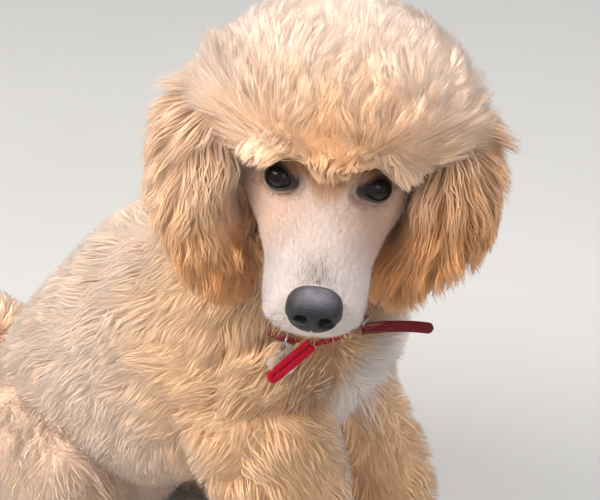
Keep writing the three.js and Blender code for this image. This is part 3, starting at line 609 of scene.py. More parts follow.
# %% The topknot's edge and the markings
def above_brim(points):
    """How far points of the head's frame are above the scissored edge."""
    beside = np.abs(points[:, 0])
    return points @ BRIM_RISE - (-3 + 15 * smooth(beside, 3, 18) - 13 * smooth(beside, 27, 52))


on_core = np.abs(np.linalg.norm((local - TOPKNOT_CENTRE) / TOPKNOT_CORE, axis=1) - 1) < 0.08
owner = np.where(on_core & (above_brim(local) > 3), labels.index("head"), owner)
is_head = owner == labels.index("head")
crown = is_head & (above_brim(local) > 3) & (local[:, 2] > -22)
nape = is_head & (local[:, 1] > 34) & ~crown
shaved = is_head & ~crown & ~nape
depth = sample_depths[found]
depth[nape] = COAT["neck"] * (1 - CORE_SHARE)
depth[crown] = CROWN_DEPTH
depth[pompom_near] = COAT["pompom"]
throat = on_head([0, 20, -62])
clipped_throat = (labels.index("neck") == owner) & (np.linalg.norm(body_points - throat, axis=1) < 34)
depth[clipped_throat] = THROAT_DEPTH
feet = body_points[:, 2] < 24
feet &= np.isin(owner, [labels.index(kind) for kind in labels if "paw" in kind])
depth[shaved | feet] = 0
edges = read_values(skin.data.edges, "vertices", 2, int)


def spread(values, times):
    """Average values over neighbouring points."""
    values = np.asarray(values, float)
    flat_values = values.reshape(len(values), -1).copy()
    number = np.bincount(edges.ravel(), minlength=len(values))[:, None]
    for _ in range(times):
        total = np.zeros_like(flat_values)
        for column in range(flat_values.shape[1]):
            total[:, column] = np.bincount(edges[:, 0], flat_values[edges[:, 1], column], len(values))
            total[:, column] += np.bincount(edges[:, 1], flat_values[edges[:, 0], column], len(values))
        flat_values = (flat_values + total) / (1 + number)
    return flat_values.reshape(values.shape)


lie = spread(unit(sample_lies[found]), 12)
depth = np.where(shaved | feet, 0, spread(depth, 3))

CHEST_PATCH = np.array([22.0, -132.0, 300.0])
EAR_TOP = on_head([60, 40, 18])[2]
in_ear = np.isin(owner, [labels.index("ear_right"), labels.index("ear_left")]).astype(float)
ear_drop = np.maximum(0, EAR_TOP - body_points[:, 2])
front_lock = bell(local[:, 0], 0, 46) * (1 - smooth(local[:, 2], 42, 80))
front_lock *= 1 - smooth(local[:, 1], 20, 50)
from_patch = np.linalg.norm((body_points - CHEST_PATCH) * [1.2, 1, 0.8], axis=1)
pale = crown * (0.72 - 0.62 * front_lock)
pale += 0.95 * smooth(72 - from_patch, 0, 34)
pale += (0.12 + 0.4 * smooth(body_points[:, 1], -50, 60)) * (1 - in_ear) * (1 - crown)
pale += 0.35 * in_ear * (1 - smooth(ear_drop, 0, 60))
pale = np.clip(spread(pale, 4), 0, 1)
# The left ear gets extra tan as painted shade, for the side that hangs away from the key light.
left_ear_shade = owner == labels.index("ear_left")
tan = np.clip(spread(in_ear * (0.25 + 0.75 * smooth(ear_drop, 5, 70)) + 0.45 * left_ear_shade, 6), 0, 1)
print("crown, nape, shaved:", int(crown.sum()), int(nape.sum()), int(shaved.sum()))


# %% [markdown]
# The collar lies in the coat of the neck and shows only under the chin. Elsewhere the coat closes over
# it, so the path of the collar is settled here, and the coat is made deeper where the collar is to be
# hidden.


# %% The path of the collar
COLLAR_CENTRE, COLLAR_WIDE, COLLAR_DEEP = np.array([-13.0, -66.0, 429.5]), 64.0, 81.0
COLLAR_TURN = turned("Z", -21) @ turned("X", 33)
COLLAR_SHOWN = (-124, -60)
BUCKLE_ANGLE, LOOP_ANGLE, RING_ANGLE = -67, -104, -120
NECK_AXIS = np.array([-4, -56, 428])
FRONT = unit(np.array([-0.66, -0.56, 0.5]))
DOWN_IN_FRONT = unit(flattened(np.array([0, 0, -1.0]), FRONT))


def on_collar(degrees):
    angle = np.radians(np.atleast_1d(degrees))
    ring = np.column_stack([COLLAR_WIDE * np.cos(angle), COLLAR_DEEP * np.sin(angle), 0 * angle])
    return ring @ COLLAR_TURN.T + COLLAR_CENTRE


hidden_lap = on_collar(np.linspace(COLLAR_SHOWN[1], COLLAR_SHOWN[0] + 360, 160))
to_lap = np.linalg.norm(body_points[:, None, :] - hidden_lap[None], axis=2)
beyond = np.linalg.norm(hidden_lap - NECK_AXIS, axis=1)[to_lap.argmin(axis=1)]
over_collar = bell(np.maximum(to_lap.min(axis=1) - 16, 0), 0, 20)
over_collar *= (depth > 5) * (in_ear < 0.5) * ~crown
depth += over_collar * np.clip(beyond - 64, 0, 34)
print("coat over the collar, at most:", round(depth.max(), 1), "mm")

# %% [markdown]
# Under the chin the strap, the tag and the root of the leather end press the coat in. There the skin is
# moved back behind them, and the fur is kept short, so that it doesn't fall over them.


# %% The coat pressed in at the throat
tag_spot = on_collar(RING_ANGLE) + DOWN_IN_FRONT * 14
shown_lap = on_collar(np.linspace(*COLLAR_SHOWN, 60))
leather_root = shown_lap[-1] + [-9, -10, -2] + np.linspace(0, 1, 8)[:, None] * [22, -23, -1]
bare = np.vstack([shown_lap, leather_root, tag_spot])
room_round = np.append(np.zeros(len(bare) - 1), 10.0)
offset = body_points[:, None, :] - bare[None]
ahead = offset @ FRONT
aside = np.linalg.norm(offset - ahead[:, :, None] * FRONT, axis=2) - room_round
nearest_bare = aside.argmin(axis=1)
every = np.arange(len(body_points))
ahead, aside = ahead[every, nearest_bare], aside[every, nearest_bare]
coated = (depth > 2) & (in_ear < 0.5) & ~is_head & (ahead > -12)
pressed = np.clip(ahead + 7, 0, 36) * (1 - smooth(aside, 8, 27)) * coated
body_points -= spread(pressed, 3)[:, None] * FRONT
room = spread(np.where(coated, 0.15 + 0.85 * smooth(aside, 8, 32), 1.0), 2)
depth *= room
write_points(skin, to_world(body_points))
normals = read_values(skin.data.vertices, "normal", 3)
print("pressed in by up to", round(pressed.max(), 1), "mm")

# %% [markdown]
# Points carry these numbers as attributes, which the materials read, so that a marking is the same on
# the skin and on the fur that grows from it.


# %% Attributes and the skin's unwrap
def add_attribute(made, name, values):
    layer = made.data.attributes.new(name, "FLOAT", "POINT")
    layer.data.foreach_set("value", np.ascontiguousarray(values, dtype=np.float32))


lip = np.zeros(len(local))
lip[face] = bell(distance, 0, 1.5)
below_brim = -above_brim(local)
brow = shaved * (1 - smooth(below_brim, 4, 15)) * (1 - smooth(np.abs(local[:, 0]), 34, 46))
muzzle = shaved * smooth(-local[:, 1], 18, 60) * (local[:, 1] < 0)
grey = shaved * bell(local[:, 0], 0, 13) * bell(local[:, 1], -72, 18) * smooth(local[:, 2], -20, -8)
# Paler down the middle of the face: a painted highlight along the bridge of the muzzle.
blaze = shaved * bell(local[:, 0], 0, 15) * smooth(-local[:, 1], -8, 12)
MARKS = {
    "blaze": spread(blaze, 3),
    "pale": pale,
    "tan": tan,
    "muzzle": spread(muzzle, 3),
    "grey": spread(grey, 2),
    "brow": spread(brow, 3),
    "furry": spread(smooth(depth, 2, 9), 2),
}
for name, values in {**MARKS, "lip": lip, "rim": spread(rim, 1)}.items():
    add_attribute(skin, name, values)
select_only(skin)
skin.data.uv_layers.new(name="OFBake")
bpy.ops.object.mode_set(mode="EDIT")
bpy.ops.mesh.select_all(action="SELECT")
bpy.ops.uv.smart_project(angle_limit=math.radians(66), island_margin=0.002)
bpy.ops.object.mode_set(mode="OBJECT")
print("unwrapped")

# %% [markdown]
# Fur is grown by arrays. Roots are drawn over the faces of the skin in proportion to their area, always
# from the same seed. Each tuft is a closed, tapered body of three sides that leaves the skin along its
# normal, bends over into the lie, waves, and leans together with its neighbours towards a shared tip,
# as a curly coat does when it is brushed.
#
# A hair system would give finer hairs, but it isn't a surface, so it could not be packed or placed
# elsewhere.

# %% Roots
skin.data.calc_loop_triangles()
triangles = read_values(skin.data.loop_triangles, "vertices", 3, int)
corners = read_values(skin.data.loop_triangles, "loops", 3, int)
unwrap = read_values(skin.data.uv_layers["OFBake"].data, "uv", 2)
skin_points = from_world(read_points(skin))
first, second, third = (skin_points[triangles[:, k]] for k in range(3))
face_area = np.linalg.norm(np.cross(second - first, third - first), axis=1)


def draw_roots(mask, count, seed):
    """Roots over the masked part of the skin, as a dictionary of place, normal, lie and the rest."""
    random = np.random.default_rng(seed)
    weight = face_area * mask[triangles].mean(axis=1)
    edges_of_draw = np.cumsum(weight) / weight.sum()
    picks = np.searchsorted(edges_of_draw, (np.arange(count) + random.random(count)) / count)
    picks = np.minimum(picks, len(triangles) - 1)
    a, b = random.random(count), random.random(count)
    a, b = np.where(a + b > 1, 1 - a, a), np.where(a + b > 1, 1 - b, b)
    shares = np.column_stack([1 - a - b, a, b])

    def mixed(table, index=triangles):
        return np.einsum("nk,nk...->n...", shares, table[index[picks]])

    return {
        "at": mixed(skin_points),
        "out": unit(mixed(normals)),
        "lie": mixed(lie),
        "depth": mixed(depth),
        "room": mixed(room),
        "marks": {name: mixed(values) for name, values in MARKS.items()},
        "uv": mixed(unwrap, corners),
        "random": random,
    }


print("area of the skin:", round(face_area.sum() / 2e6, 3), "m2")

# %% [markdown]
# A tuft's rings are placed along its curve, and its width swells a little over the root before it runs
# out to nothing at the tip. All tufts of a piece share one mesh.

# %% Tufts
LOCK = ([0.0, 0.36, 0.72, 1.0], [0.7, 1.0, 0.7, 0.0])
WISP = ([0.0, 0.52, 1.0], [0.8, 1.0, 0.0])
HAIR = ([0.0, 1.0], [1.0, 0.0])
PATCH = 0.003
SOFTNESS, PUFF = 0.82, 0.4


def tuft_curves(roots, target, stages, wave, waves, gather, group_share):
    """Points along each tuft, its sideways axis and its place beside the leader of its group."""
    random, out = roots["random"], roots["out"]
    count = len(target)
    at = roots["at"] - out
    middle = roots["at"] * 0.5 + target * 0.5
    groups = max(1, count // group_share)
    leaders = random.choice(count, groups, replace=False)
    herd = KDTree(groups)
    for number, leader in enumerate(leaders):
        herd.insert(middle[leader], number)
    herd.balance()
    follows = leaders[[herd.find(point)[1] for point in middle]]
    shared = target[follows] + (at - at[follows]) * 0.25
    side = unit(np.cross(out, target - at) + 1e-6)
    phase = random.random(groups)[np.searchsorted(np.sort(leaders), follows) % groups] * 2 * np.pi
    phase = phase + random.random(count) * 1.2
    strength = wave * (0.7 + 0.6 * random.random(count))
    rise = out * np.sum((target - at) * out, axis=1, keepdims=True)
    centres = []
    for step in stages:
        bend = 1 - (1 - step) ** 1.7
        turn = 2 * np.pi * waves * step + phase
        pulled = (shared - target) * gather * step**1.4
        swing = side * (strength * step * np.sin(turn))[:, None]
        lift = out * (0.5 * strength * step * np.cos(turn))[:, None]
        centres.append(at + (target - at) * step + rise * (bend - step) + pulled + swing + lift)
    return centres, side, at - at[follows]


def tuft_faces(rings):
    """The faces of one tuft: quads between its rings, then triangles at its tip and its root."""
    quads, tips = [], []
    for step in range(rings - 1):
        for corner in range(3):
            here, after = step * 3 + corner, step * 3 + (corner + 1) % 3
            if step < rings - 2:
                quads.append([here, after, after + 3, here + 3])
            else:
                tips.append([here, after, (rings - 1) * 3])
    tips.append([2, 1, 0])
    return np.array(quads, dtype=int).reshape(-1, 4), np.array(tips)


def grow_tufts(name, roots, target, width, shape=WISP, wave=2.0, waves=1.6, gather=0.5, group_share=10,
               flat=0.5):
    """Tufts from roots to target points, as one mesh object."""
    stages, swell = np.array(shape[0]), shape[1]
    random = roots["random"]
    count, rings = len(target), len(stages)
    centres, side, beside = tuft_curves(roots, target, stages, wave, waves, gather, group_share)
    beside = beside / (np.median(np.linalg.norm(beside, axis=1)) + 0.1)
    soft = unit(roots.get("facing", roots["out"]) + PUFF * np.clip(beside, -1.5, 1.5))
    wide = (width * (0.75 + 0.5 * random.random(count)))[:, None]
    points, facing = [], []
    for step in range(rings - 1):
        ahead = unit(centres[step + 1] - centres[max(step - 1, 0)])
        across = unit(flattened(side, ahead))
        thick = np.cross(ahead, across)
        for corner in range(3):
            angle = 2 * np.pi * corner / 3 + 0.5
            offset = across * math.cos(angle) + thick * math.sin(angle) * flat
            points.append(centres[step] + offset * wide * swell[step])
            facing.append(unit(unit(offset) * (1 - SOFTNESS) + soft * SOFTNESS))
    points.append(centres[-1])
    facing.append(soft)
    stacked = np.stack(points, axis=1)
    per_tuft = stacked.shape[1]
    first = (np.arange(count) * per_tuft)[:, None, None]
    quads, tips = tuft_faces(rings)
    quads, tips = (first + quads).reshape(-1, 4), (first + tips).reshape(-1, 3)
    made = mesh_object(name, to_world(stacked.reshape(-1, 3)), quads, tips)
    add_attribute(made, "along", np.tile(np.append(np.repeat(stages[:-1], 3), 1.0), count))
    for mark, values in roots["marks"].items():
        add_attribute(made, mark, np.repeat(values, per_tuft))
    add_attribute(made, "vary", np.repeat(random.random(count), per_tuft))
    patch_x = np.append(np.tile([0.0, 0.5, 1.0], rings - 1), 0.5)
    patch_y = np.append(np.repeat(stages[:-1], 3), 1.0)
    patch = PATCH * (np.column_stack([patch_x, patch_y]) - 0.5)
    places = (roots["uv"][:, None, :] + patch).reshape(-1, 2)
    layer = made.data.uv_layers.new(name="OFBake")
    layer.data.foreach_set("uv", np.clip(places[np.append(quads, tips)], 0, 1).ravel())
    made.data.shade_smooth()
    made.data.normals_split_custom_set_from_vertices(np.stack(facing, axis=1).reshape(-1, 3))
    return made


def mesh_object(name, points, quads, tips):
    mesh = bpy.data.meshes.new(name)
    mesh.vertices.add(len(points))
    mesh.vertices.foreach_set("co", np.ascontiguousarray(points).ravel())
    mesh.loops.add(quads.size + tips.size)
    mesh.loops.foreach_set("vertex_index", np.concatenate([quads.ravel(), tips.ravel()]))
    mesh.polygons.add(len(quads) + len(tips))
    starts = np.concatenate([np.arange(len(quads)) * 4, quads.size + np.arange(len(tips)) * 3])
    mesh.polygons.foreach_set("loop_start", starts)
    mesh.update(calc_edges=True)
    mesh.validate()
    made = bpy.data.objects.new(name, mesh)
    bpy.context.collection.objects.link(made)
    return made


# %% [markdown]
# Each region says where its tufts end. On the body and legs the tip stands off the skin by the depth of
# the coat and a little further along the lie. On the topknot it reaches the dome, and the scissored
# edge holds the front row back.

# %% Where the tips are
def swirl(points, size):
    """A slow wandering turn from -1 to 1, so that no field of fur is combed quite evenly."""
    x, y, z = (points / size).T
    first = np.sin(x + 1.7 * np.sin(0.8 * z + 0.5) + 0.6 * y)
    return first * np.cos(0.9 * z + 1.3 * np.sin(0.7 * y + 0.3 * x))


def turned_about(ways, axis, angle):
    """Ways turned about an axis at right angles to them."""
    return ways * np.cos(angle)[:, None] + np.cross(axis, ways) * np.sin(angle)[:, None]


def body_tips(roots, length, stand=0.92, wander=0.5):
    """Fur that stands off the skin by the coat's depth and leans along the lie."""
    random = roots["random"]
    count = len(roots["at"])
    vary = 0.86 + 0.2 * random.random(count)
    angle = wander * swirl(roots["at"], 16) + 0.6 * (random.random(count) - 0.5)
    lie_way = turned_about(unit(flattened(roots["lie"], roots["out"])), roots["out"], angle)
    reach = (roots["depth"] * stand * vary)[:, None]
    tips = roots["at"] + roots["out"] * reach + lie_way * (length * vary * roots["room"])[:, None]
    tips[:, 2] = np.maximum(tips[:, 2], 3.5)
    return tips


def ear_tips(roots, side, length, stand=0.92):
    """Long locks that hang, shorter towards the ear's end; the front ones lean over the cheek."""
    drop = np.maximum(0, EAR_TOP - roots["at"][:, 2])
    tips = body_tips(roots, length * (1 - 0.5 * smooth(drop, 50, 110)), stand, 0.35)
    inward = head_way([-0.75 * side, -0.65, 0])
    front = smooth(roots["out"] @ inward, 0.0, 0.8) * (1 - smooth(drop, 70, 120))
    return tips + inward * (CHEEK_LEAN[side] * front)[:, None]


def face_tips(roots, length):
    """Short fur that lies almost flat, longer under the brim and over the nose."""
    random = roots["random"]
    count = len(roots["at"])
    marks = roots["marks"]
    length = (length * (1 + 0.9 * marks["brow"] + 0.5 * marks["grey"]))[:, None]
    lie_way = roots["lie"] + 0.5 * (random.random((count, 3)) - 0.5)
    lie_way = unit(flattened(lie_way, roots["out"]))
    vary = (0.6 + 0.7 * random.random(count))[:, None]
    raised = roots["out"] * (0.2 + 0.25 * random.random(count))[:, None]
    tips = roots["at"] + (lie_way + raised) * length * vary
    tips[:, 2] = np.maximum(tips[:, 2], 1.0)
    return tips


CHEEK_LEAN = {-1: 4, 1: 11}
PARTING = np.array([0.0, -8.0, 10.0])


def topknot_tips(roots, length, proud=0.0):
    """Fur that falls away from the parting and ends on the dome, or at the scissored edge."""
    random = roots["random"]
    count = len(roots["at"])
    start = to_head(roots["at"])
    way = unit((start - TOPKNOT_CENTRE * [1, 1, 0.5]) / (TOPKNOT_RADII * [1, 1, 1.1]))
    way = unit(way + 0.1 * (random.random((count, 3)) - 0.5))
    vary = (0.93 + 0.09 * random.random(count))[:, None]
    tip = TOPKNOT_CENTRE + way * (TOPKNOT_RADII * vary + proud)
    fall = unit(tip - PARTING)
    droop = smooth(np.abs(tip[:, 0]), 30, 72) * (1 - smooth(tip[:, 2], 30, 75))
    fall[:, 2] -= 0.8 * droop
    angle = 1.1 * swirl(tip, 13) + 0.9 * (random.random(count) - 0.5)
    fall = turned_about(unit(flattened(fall, way)), way, angle)
    tip += fall * (length * (0.7 + 0.6 * random.random(count)) * (1 + 0.9 * droop))[:, None]
    tip[:, 0] += np.sign(tip[:, 0]) * 12 * droop
    close = bell(tip[:, 0], 0, 13) * (1 - smooth(above_brim(tip), 4, 22)) * (tip[:, 1] < 10)
    tip -= way * (11 * close)[:, None]
    short = np.maximum(0, 1 - above_brim(tip))
    tip += unit(BRIM_RISE) * short[:, None] * 0.9
    facing = head_way(way)
    facing[:, 2] = np.maximum(facing[:, 2], 0) + 0.3
    roots["facing"] = unit(facing)
    return on_head(tip)


def brim_tips(roots, length):
    """Locks that turn down over the scissored edge and reach a little below it."""
    random = roots["random"]
    count = len(roots["at"])
    start = to_head(roots["at"])
    way = unit((start - TOPKNOT_CENTRE) / TOPKNOT_RADII)
    outer = smooth(np.abs(start[:, 0]), 10, 50)
    fall = np.column_stack([0.5 * np.sign(start[:, 0]) * outer, -0.35 + 0 * outer, -1 + 0 * outer])
    angle = 0.8 * swirl(start, 9) + 0.5 * (random.random(count) - 0.5)
    fall = turned_about(unit(flattened(fall, way)), way, angle)
    vary = 0.75 + 0.5 * random.random(count)
    middle = bell(start[:, 0], 0, 13)
    tip = start + fall * (length * vary)[:, None] + way * (13 * vary * (1 - 0.75 * middle))[:, None]
    edge = 2 - 3 * bell(tip[:, 0], 0, 12) - 8 * smooth(np.abs(tip[:, 0]), 36, 52)
    short = np.maximum(0, edge - above_brim(tip))
    tip += unit(BRIM_RISE) * short[:, None]
    roots["facing"] = unit(head_way(way) + [0, 0, 0.2])
    return on_head(tip)


# %% [markdown]
# The coat is grown in layers, region by region. Wisps and locks come first and make the clumps that
# catch the light. A denser fuzz of finer hairs then fills between them, which is what makes a poodle's
# coat look like plush. The face and the feet have short hairs only, the smallest of all.
#
# No mesh holds more than 190,000 triangles, so a large layer is grown as several pieces.


# %% Coat pieces
PIECE_TRIANGLES = 190000
FACES_EACH = {2: 4, 3: 10, 4: 16}
CLUMPED = {"gather": 0.45, "group_share": 30}
COMBED = {"wave": 0.0, "gather": 0.4, "flat": 0.8, "group_share": 60}
PLUSH = {"wave": 0.0, "gather": 0.2, "flat": 0.8, "group_share": 40}
SINGLE = {"wave": 0.0, "gather": 0.0, "flat": 0.8}
coats = []


def coat_over(name, mask, count, seed, width, tips, reach, shape=WISP, **habit):
    """Grow a layer; tips says where its tufts end, with reach as that function's own lengths."""
    pieces = math.ceil(count * FACES_EACH[len(shape[0])] / PIECE_TRIANGLES)
    for number in range(pieces):
        roots = draw_roots(mask.astype(float), count // pieces, seed + number)
        piece_name = f"{name}_{number + 1}" if pieces > 1 else name
        coats.append(grow_tufts(piece_name, roots, tips(roots, *reach), width, shape, **habit))
        print(piece_name, len(coats[-1].data.vertices), "points")


def labelled(*words):
    chosen = [number for number, label in enumerate(labels) if label.startswith(words)]
    return np.isin(owner, chosen) & (depth > 2)


trunk_mask = labelled("trunk") | ((nape | labelled("neck")) & (depth > 10))
leg_mask = labelled("foreleg", "thigh", "shank", "pastern")
throat_mask = clipped_throat & (depth > 2)
face_mask = shaved & (rim < 0.05) & (lip < 0.3) & (np.linalg.norm(local - [0, -86, -17], axis=1) > 15)
brim_mask = crown & (above_brim(local) > 5) & (above_brim(local) < 24) & (local[:, 1] < 40)
coat_over("coat_topknot", crown, 16000, 11, 0.6, topknot_tips, (18,), wave=3.0, waves=0.9, **CLUMPED)
coat_over("fuzz_topknot", crown, 62000, 15, 0.4, topknot_tips, (15, 1.0), HAIR, **PLUSH)
coat_over("coat_brim", brim_mask, 5000, 19, 0.6, brim_tips, (16,), wave=2.0, waves=0.7, **CLUMPED)
coat_over("coat_body", trunk_mask, 14000, 21, 0.62, body_tips, (20,), wave=2.8, **CLUMPED)
coat_over("fuzz_body", trunk_mask, 70000, 26, 0.44, body_tips, (16, 1.0), HAIR, **COMBED)
coat_over("coat_legs", leg_mask, 8000, 31, 0.66, body_tips, (13,), wave=2.4, **CLUMPED)
coat_over("fuzz_legs", leg_mask, 40000, 36, 0.46, body_tips, (11, 1.0), HAIR, **COMBED)
for side, ear, seed in ((-1, "ear_right", 41), (1, "ear_left", 43)):
    mask = labelled(ear)
    coat_over("coat_" + ear, mask, 4500, seed, 0.56, ear_tips, (side, 40), LOCK, wave=2.8, **CLUMPED)
    coat_over("fuzz_" + ear, mask, 11000, seed + 4, 0.42, ear_tips, (side, 28, 1.0), HAIR, **PLUSH)
coat_over("coat_pompom", pompom_near, 2500, 51, 1.0, body_tips, (6,), wave=2)
coat_over("coat_throat", throat_mask, 5000, 61, 0.6, body_tips, (8,), HAIR, **COMBED)
coat_over("fuzz_face", face_mask, 24000, 71, 0.3, face_tips, (4,), HAIR, **SINGLE)
coat_over("fuzz_feet", feet, 6000, 75, 0.35, face_tips, (5,), HAIR, **SINGLE)

# %% [markdown]
# The eyes are balls with a clear, wet surface. The iris and pupil are rings round the axis of the gaze,
# and each point of the ball knows how far it is from that axis.


# %% Eyes
def make_eye(side, name):
    look, _, _ = eye_axes(side)
    ball = add_ball("eyeball_" + name, 64, 48)
    ways = read_points(ball)
    axis_share = ways @ look
    bulge = 0.55 * smooth(axis_share, 0.72, 0.95)
    write_points(ball, to_world(on_head(EYE_AT[side] + ways * (EYE_RADIUS - 0.15 + bulge)[:, None])))
    add_attribute(ball, "gaze", np.arccos(np.clip(axis_share, -1, 1)))
    bpy.ops.object.shade_smooth()
    return ball


eyes = [make_eye(-1, "right"), make_eye(1, "left")]


# %% [markdown]
# The nose leather is a rounded block with a nostril at each side, a slit that runs back from it, and a
# cleft below.


# %% Nose
NOSE = np.array([0.0, -84.0, -17.0])
NOSE_HALF = np.array([16.8, 12.0, 14.0])


def dent(points, centre, radii, power=3):
    """How deep each point lies in a soft-edged ellipsoid, from 0 to 1."""
    return np.exp(-(np.linalg.norm((points - centre) / radii, axis=1) ** power))


nose = add_ball("nose_leather", 128, 96)
ways = read_points(nose)
ways = ways * ((np.abs(ways) ** 2.6).sum(axis=1) ** (-1 / 2.6))[:, None]
block = ways * NOSE_HALF
block[:, 0] *= 1 - 0.22 * smooth(-ways[:, 2], 0, 1)
block[:, 1] += 2.5 * np.maximum(0, -ways[:, 2])
# The bores and slits are later painted near black: painted shade inside the nostrils.
nostril_shade = np.zeros(len(block))
for side in (-1, 1):
    bore = dent(block, [side * 7.2, -11, 0.4], [3.6, 7, 3.4])
    slit = dent(block, [side * 12.4, -7.5, -3.4], [4.6, 7, 1.7])
    wing = dent(block, [side * 10.5, -9, 5.6], [4.5, 7, 2.6], power=2)
    nostril_shade += bore + 0.6 * slit
    block += np.outer(bore, [-side, 6.5, -0.8])
    block += np.outer(slit, [-side * 1.6, 2.6, 0.2])
    block -= np.outer(wing, [0, 0.9, 0])
cleft = bell(block[:, 0], 0, 0.8) * smooth(-block[:, 2], -1, 3) * smooth(-block[:, 1], 2, 7)
block[:, 1] += 1.3 * cleft
add_attribute(nose, "nostril_shade", np.clip(nostril_shade, 0, 1))
write_points(nose, to_world(on_head(block @ turned("X", -12).T + NOSE)))
pale_top = bell(block[:, 0], 0, 11) * bell(block[:, 1], -1, 7) * smooth(block[:, 2], 5, 12)
add_attribute(nose, "pale_top", np.clip(pale_top, 0, 1))
bpy.ops.object.shade_smooth()

# %% [markdown]
# Claws are short curved horns, one to a toe, four to a paw.


# %% Claws
def horn(x, y, base, twist):
    """One claw, on the toe at x, y of a paw that is turned by twist."""
    made = add_ball("claw", 16, 20)
    ball = read_points(made)
    share = (1 + ball[:, 1]) / 2
    thick = 2.0 * (1 - 0.75 * (1 - share))
    high = 4.2 + 6.0 * share - 3 * (share - 0.5) ** 2 + ball[:, 2] * thick
    curve = np.column_stack([x + ball[:, 0] * thick, y - 23 + 12 * share, high])
    write_points(made, to_world(base + curve @ turned("Z", math.degrees(twist)).T))
    return made


claw_pieces = {}
for side, name in ((-1, "right"), (1, "left")):
    for paw, twist, kind in ((FORE_PAW[side], 0, "fore"), (HIND_PAW, side * HIND_TURN, "hind")):
        base = np.array([side * paw[0], paw[1], 0])
        horns = [horn(x, y, base, twist) for x, y in TOES]
        claw_pieces[f"{kind}claw_{name}"] = joined(f"{kind}claws_{name}", horns)
        bpy.ops.object.shade_smooth()

# %% [markdown]
# The collar is a thin red web that lies in the neck's coat. Its parts are ribbons: a path, the way the
# ribbon faces, a width and a thickness, with a rounded section. Each has its own UV in metres along and
# round it, so that weave and braid keep their size and follow every bend.


# %% Ribbons
RIBBON_SIDES = 20


def ribbon(name, path, faces, width, thick, closed=False, corner=0.45, ends=1.0):
    """A band of rounded section along a path; ends gives the share of the width at each step."""
    count, sides = len(path), RIBBON_SIDES
    around = np.roll(path, -1, 0) - np.roll(path, 1, 0)
    ahead = unit(around if closed else np.gradient(path, axis=0))
    faces = unit(flattened(unit(np.broadcast_to(faces, path.shape)), ahead))
    across = np.cross(ahead, faces)
    angle = 2 * np.pi * np.arange(sides) / sides
    section = np.array([np.cos(angle), np.sin(angle)])
    section = np.sign(section) * np.abs(section) ** (2 * corner)
    share = np.broadcast_to(ends, count)[:, None]
    wide = section[0] * width / 2 * share
    deep = section[1] * thick / 2 * np.minimum(1, 0.35 + share)
    points = path[:, None] + across[:, None] * wide[:, :, None] + faces[:, None] * deep[:, :, None]
    lap = np.append(0, np.cumsum(np.linalg.norm(np.roll(path, -1, 0) - path, axis=1))) * MM
    quads, uv = [], []
    for step in range(count if closed else count - 1):
        here, there = step * sides, ((step + 1) % count) * sides
        for k in range(sides):
            after = (k + 1) % sides
            quads.append([there + k, there + after, here + after, here + k])
            low, high = k / sides, (k + 1) / sides
            uv += [(lap[step + 1], low), (lap[step + 1], high), (lap[step], high), (lap[step], low)]
    no_tips = np.zeros((0, 3), dtype=int)
    made = mesh_object(name, to_world(points.reshape(-1, 3)), np.array(quads), no_tips)
    layer = made.data.uv_layers.new(name="weave")
    layer.data.foreach_set("uv", np.array(uv).ravel())
    if not closed:
        mesh = bmesh.new()
        mesh.from_mesh(made.data)
        bmesh.ops.holes_fill(mesh, edges=mesh.edges)
        bmesh.ops.recalc_face_normals(mesh, faces=mesh.faces)
        mesh.to_mesh(made.data)
        mesh.free()
    made.data.shade_smooth()
    return made


def collar_way(degrees):
    """The way the collar runs at an angle."""
    return unit(on_collar(degrees + 1)[0] - on_collar(degrees - 1)[0])


LEATHER_TIP = np.array([16.0, -176.0, 388.0])
LEATHER_BOW = 4
ring_path = on_collar(np.linspace(0, 360, 180, endpoint=False))
strap = ribbon("collar_web", ring_path, ring_path - COLLAR_CENTRE, 8, 3, closed=True)
buckle_at = on_collar(BUCKLE_ANGLE)[0]
buckle_face = unit(buckle_at - COLLAR_CENTRE)
buckle_way = collar_way(BUCKLE_ANGLE)
buckle_up = np.cross(buckle_face, buckle_way)
buckle_at = buckle_at + buckle_up * 3
start = buckle_at + buckle_face * 8.6 - buckle_way * 2 + buckle_up * 3
start -= 5.5 * unit(LEATHER_TIP - start)
shares = np.linspace(0, 1, 60)
chord = LEATHER_TIP - start
sag = 2 * LEATHER_BOW * shares * (1 - shares)
bowed = start + chord * shares[:, None] + np.cross(FRONT, unit(chord)) * sag[:, None]
run = shares * np.linalg.norm(chord)
rounding = np.sqrt(np.clip(1 - (np.clip(run - (run[-1] - 4), 0, 4) / 4.02) ** 2, 0.0, 1))
leather_end = ribbon("collar_leather_end", bowed, FRONT, 8, 2.4, ends=np.maximum(rounding, 0.08))

# %% [markdown]
# A doubled loop of braid hangs from the collar in front of the tag: one cord that goes out, turns and
# comes back, so that a dark line is left between its two runs.

# %% Loop, ring, tag and buckle
LOOP_TIP, LOOP_HALF = np.array([-92.0, -119.5, 377.0]), 2.3
RING_RADIUS, TAG_RADIUS = 5.8, 11.5
loop_root = on_collar(LOOP_ANGLE)[0] + FRONT * 10
loop_way = unit(LOOP_TIP - loop_root)
loop_side = unit(np.cross(FRONT, loop_way)) * LOOP_HALF
reach = np.linalg.norm(LOOP_TIP - loop_root) - 4.4
out_run = loop_root + loop_way * reach * np.linspace(0, 1, 30)[:, None]
angles = np.linspace(-np.pi / 2, np.pi / 2, 24)[1:-1, None]
bend = loop_root + loop_way * (reach + LOOP_HALF * np.cos(angles)) + loop_side * np.sin(angles)
loop_path = np.vstack([out_run - loop_side, bend, out_run[::-1] + loop_side])
loop = ribbon("collar_braid_loop", loop_path, FRONT, 4.7, 4.6, corner=0.55)

ring_at, ring_way = on_collar(RING_ANGLE)[0], collar_way(RING_ANGLE)
bpy.ops.mesh.primitive_torus_add(
    major_radius=RING_RADIUS, minor_radius=0.8, major_segments=64, minor_segments=16
)
split_ring = bpy.context.object
split_ring.name = "split_ring"
basis = np.array(Vector((0, 0, 1)).rotation_difference(Vector(ring_way)).to_matrix())
write_points(split_ring, to_world(read_points(split_ring) @ basis.T + ring_at))
bpy.ops.object.shade_smooth()

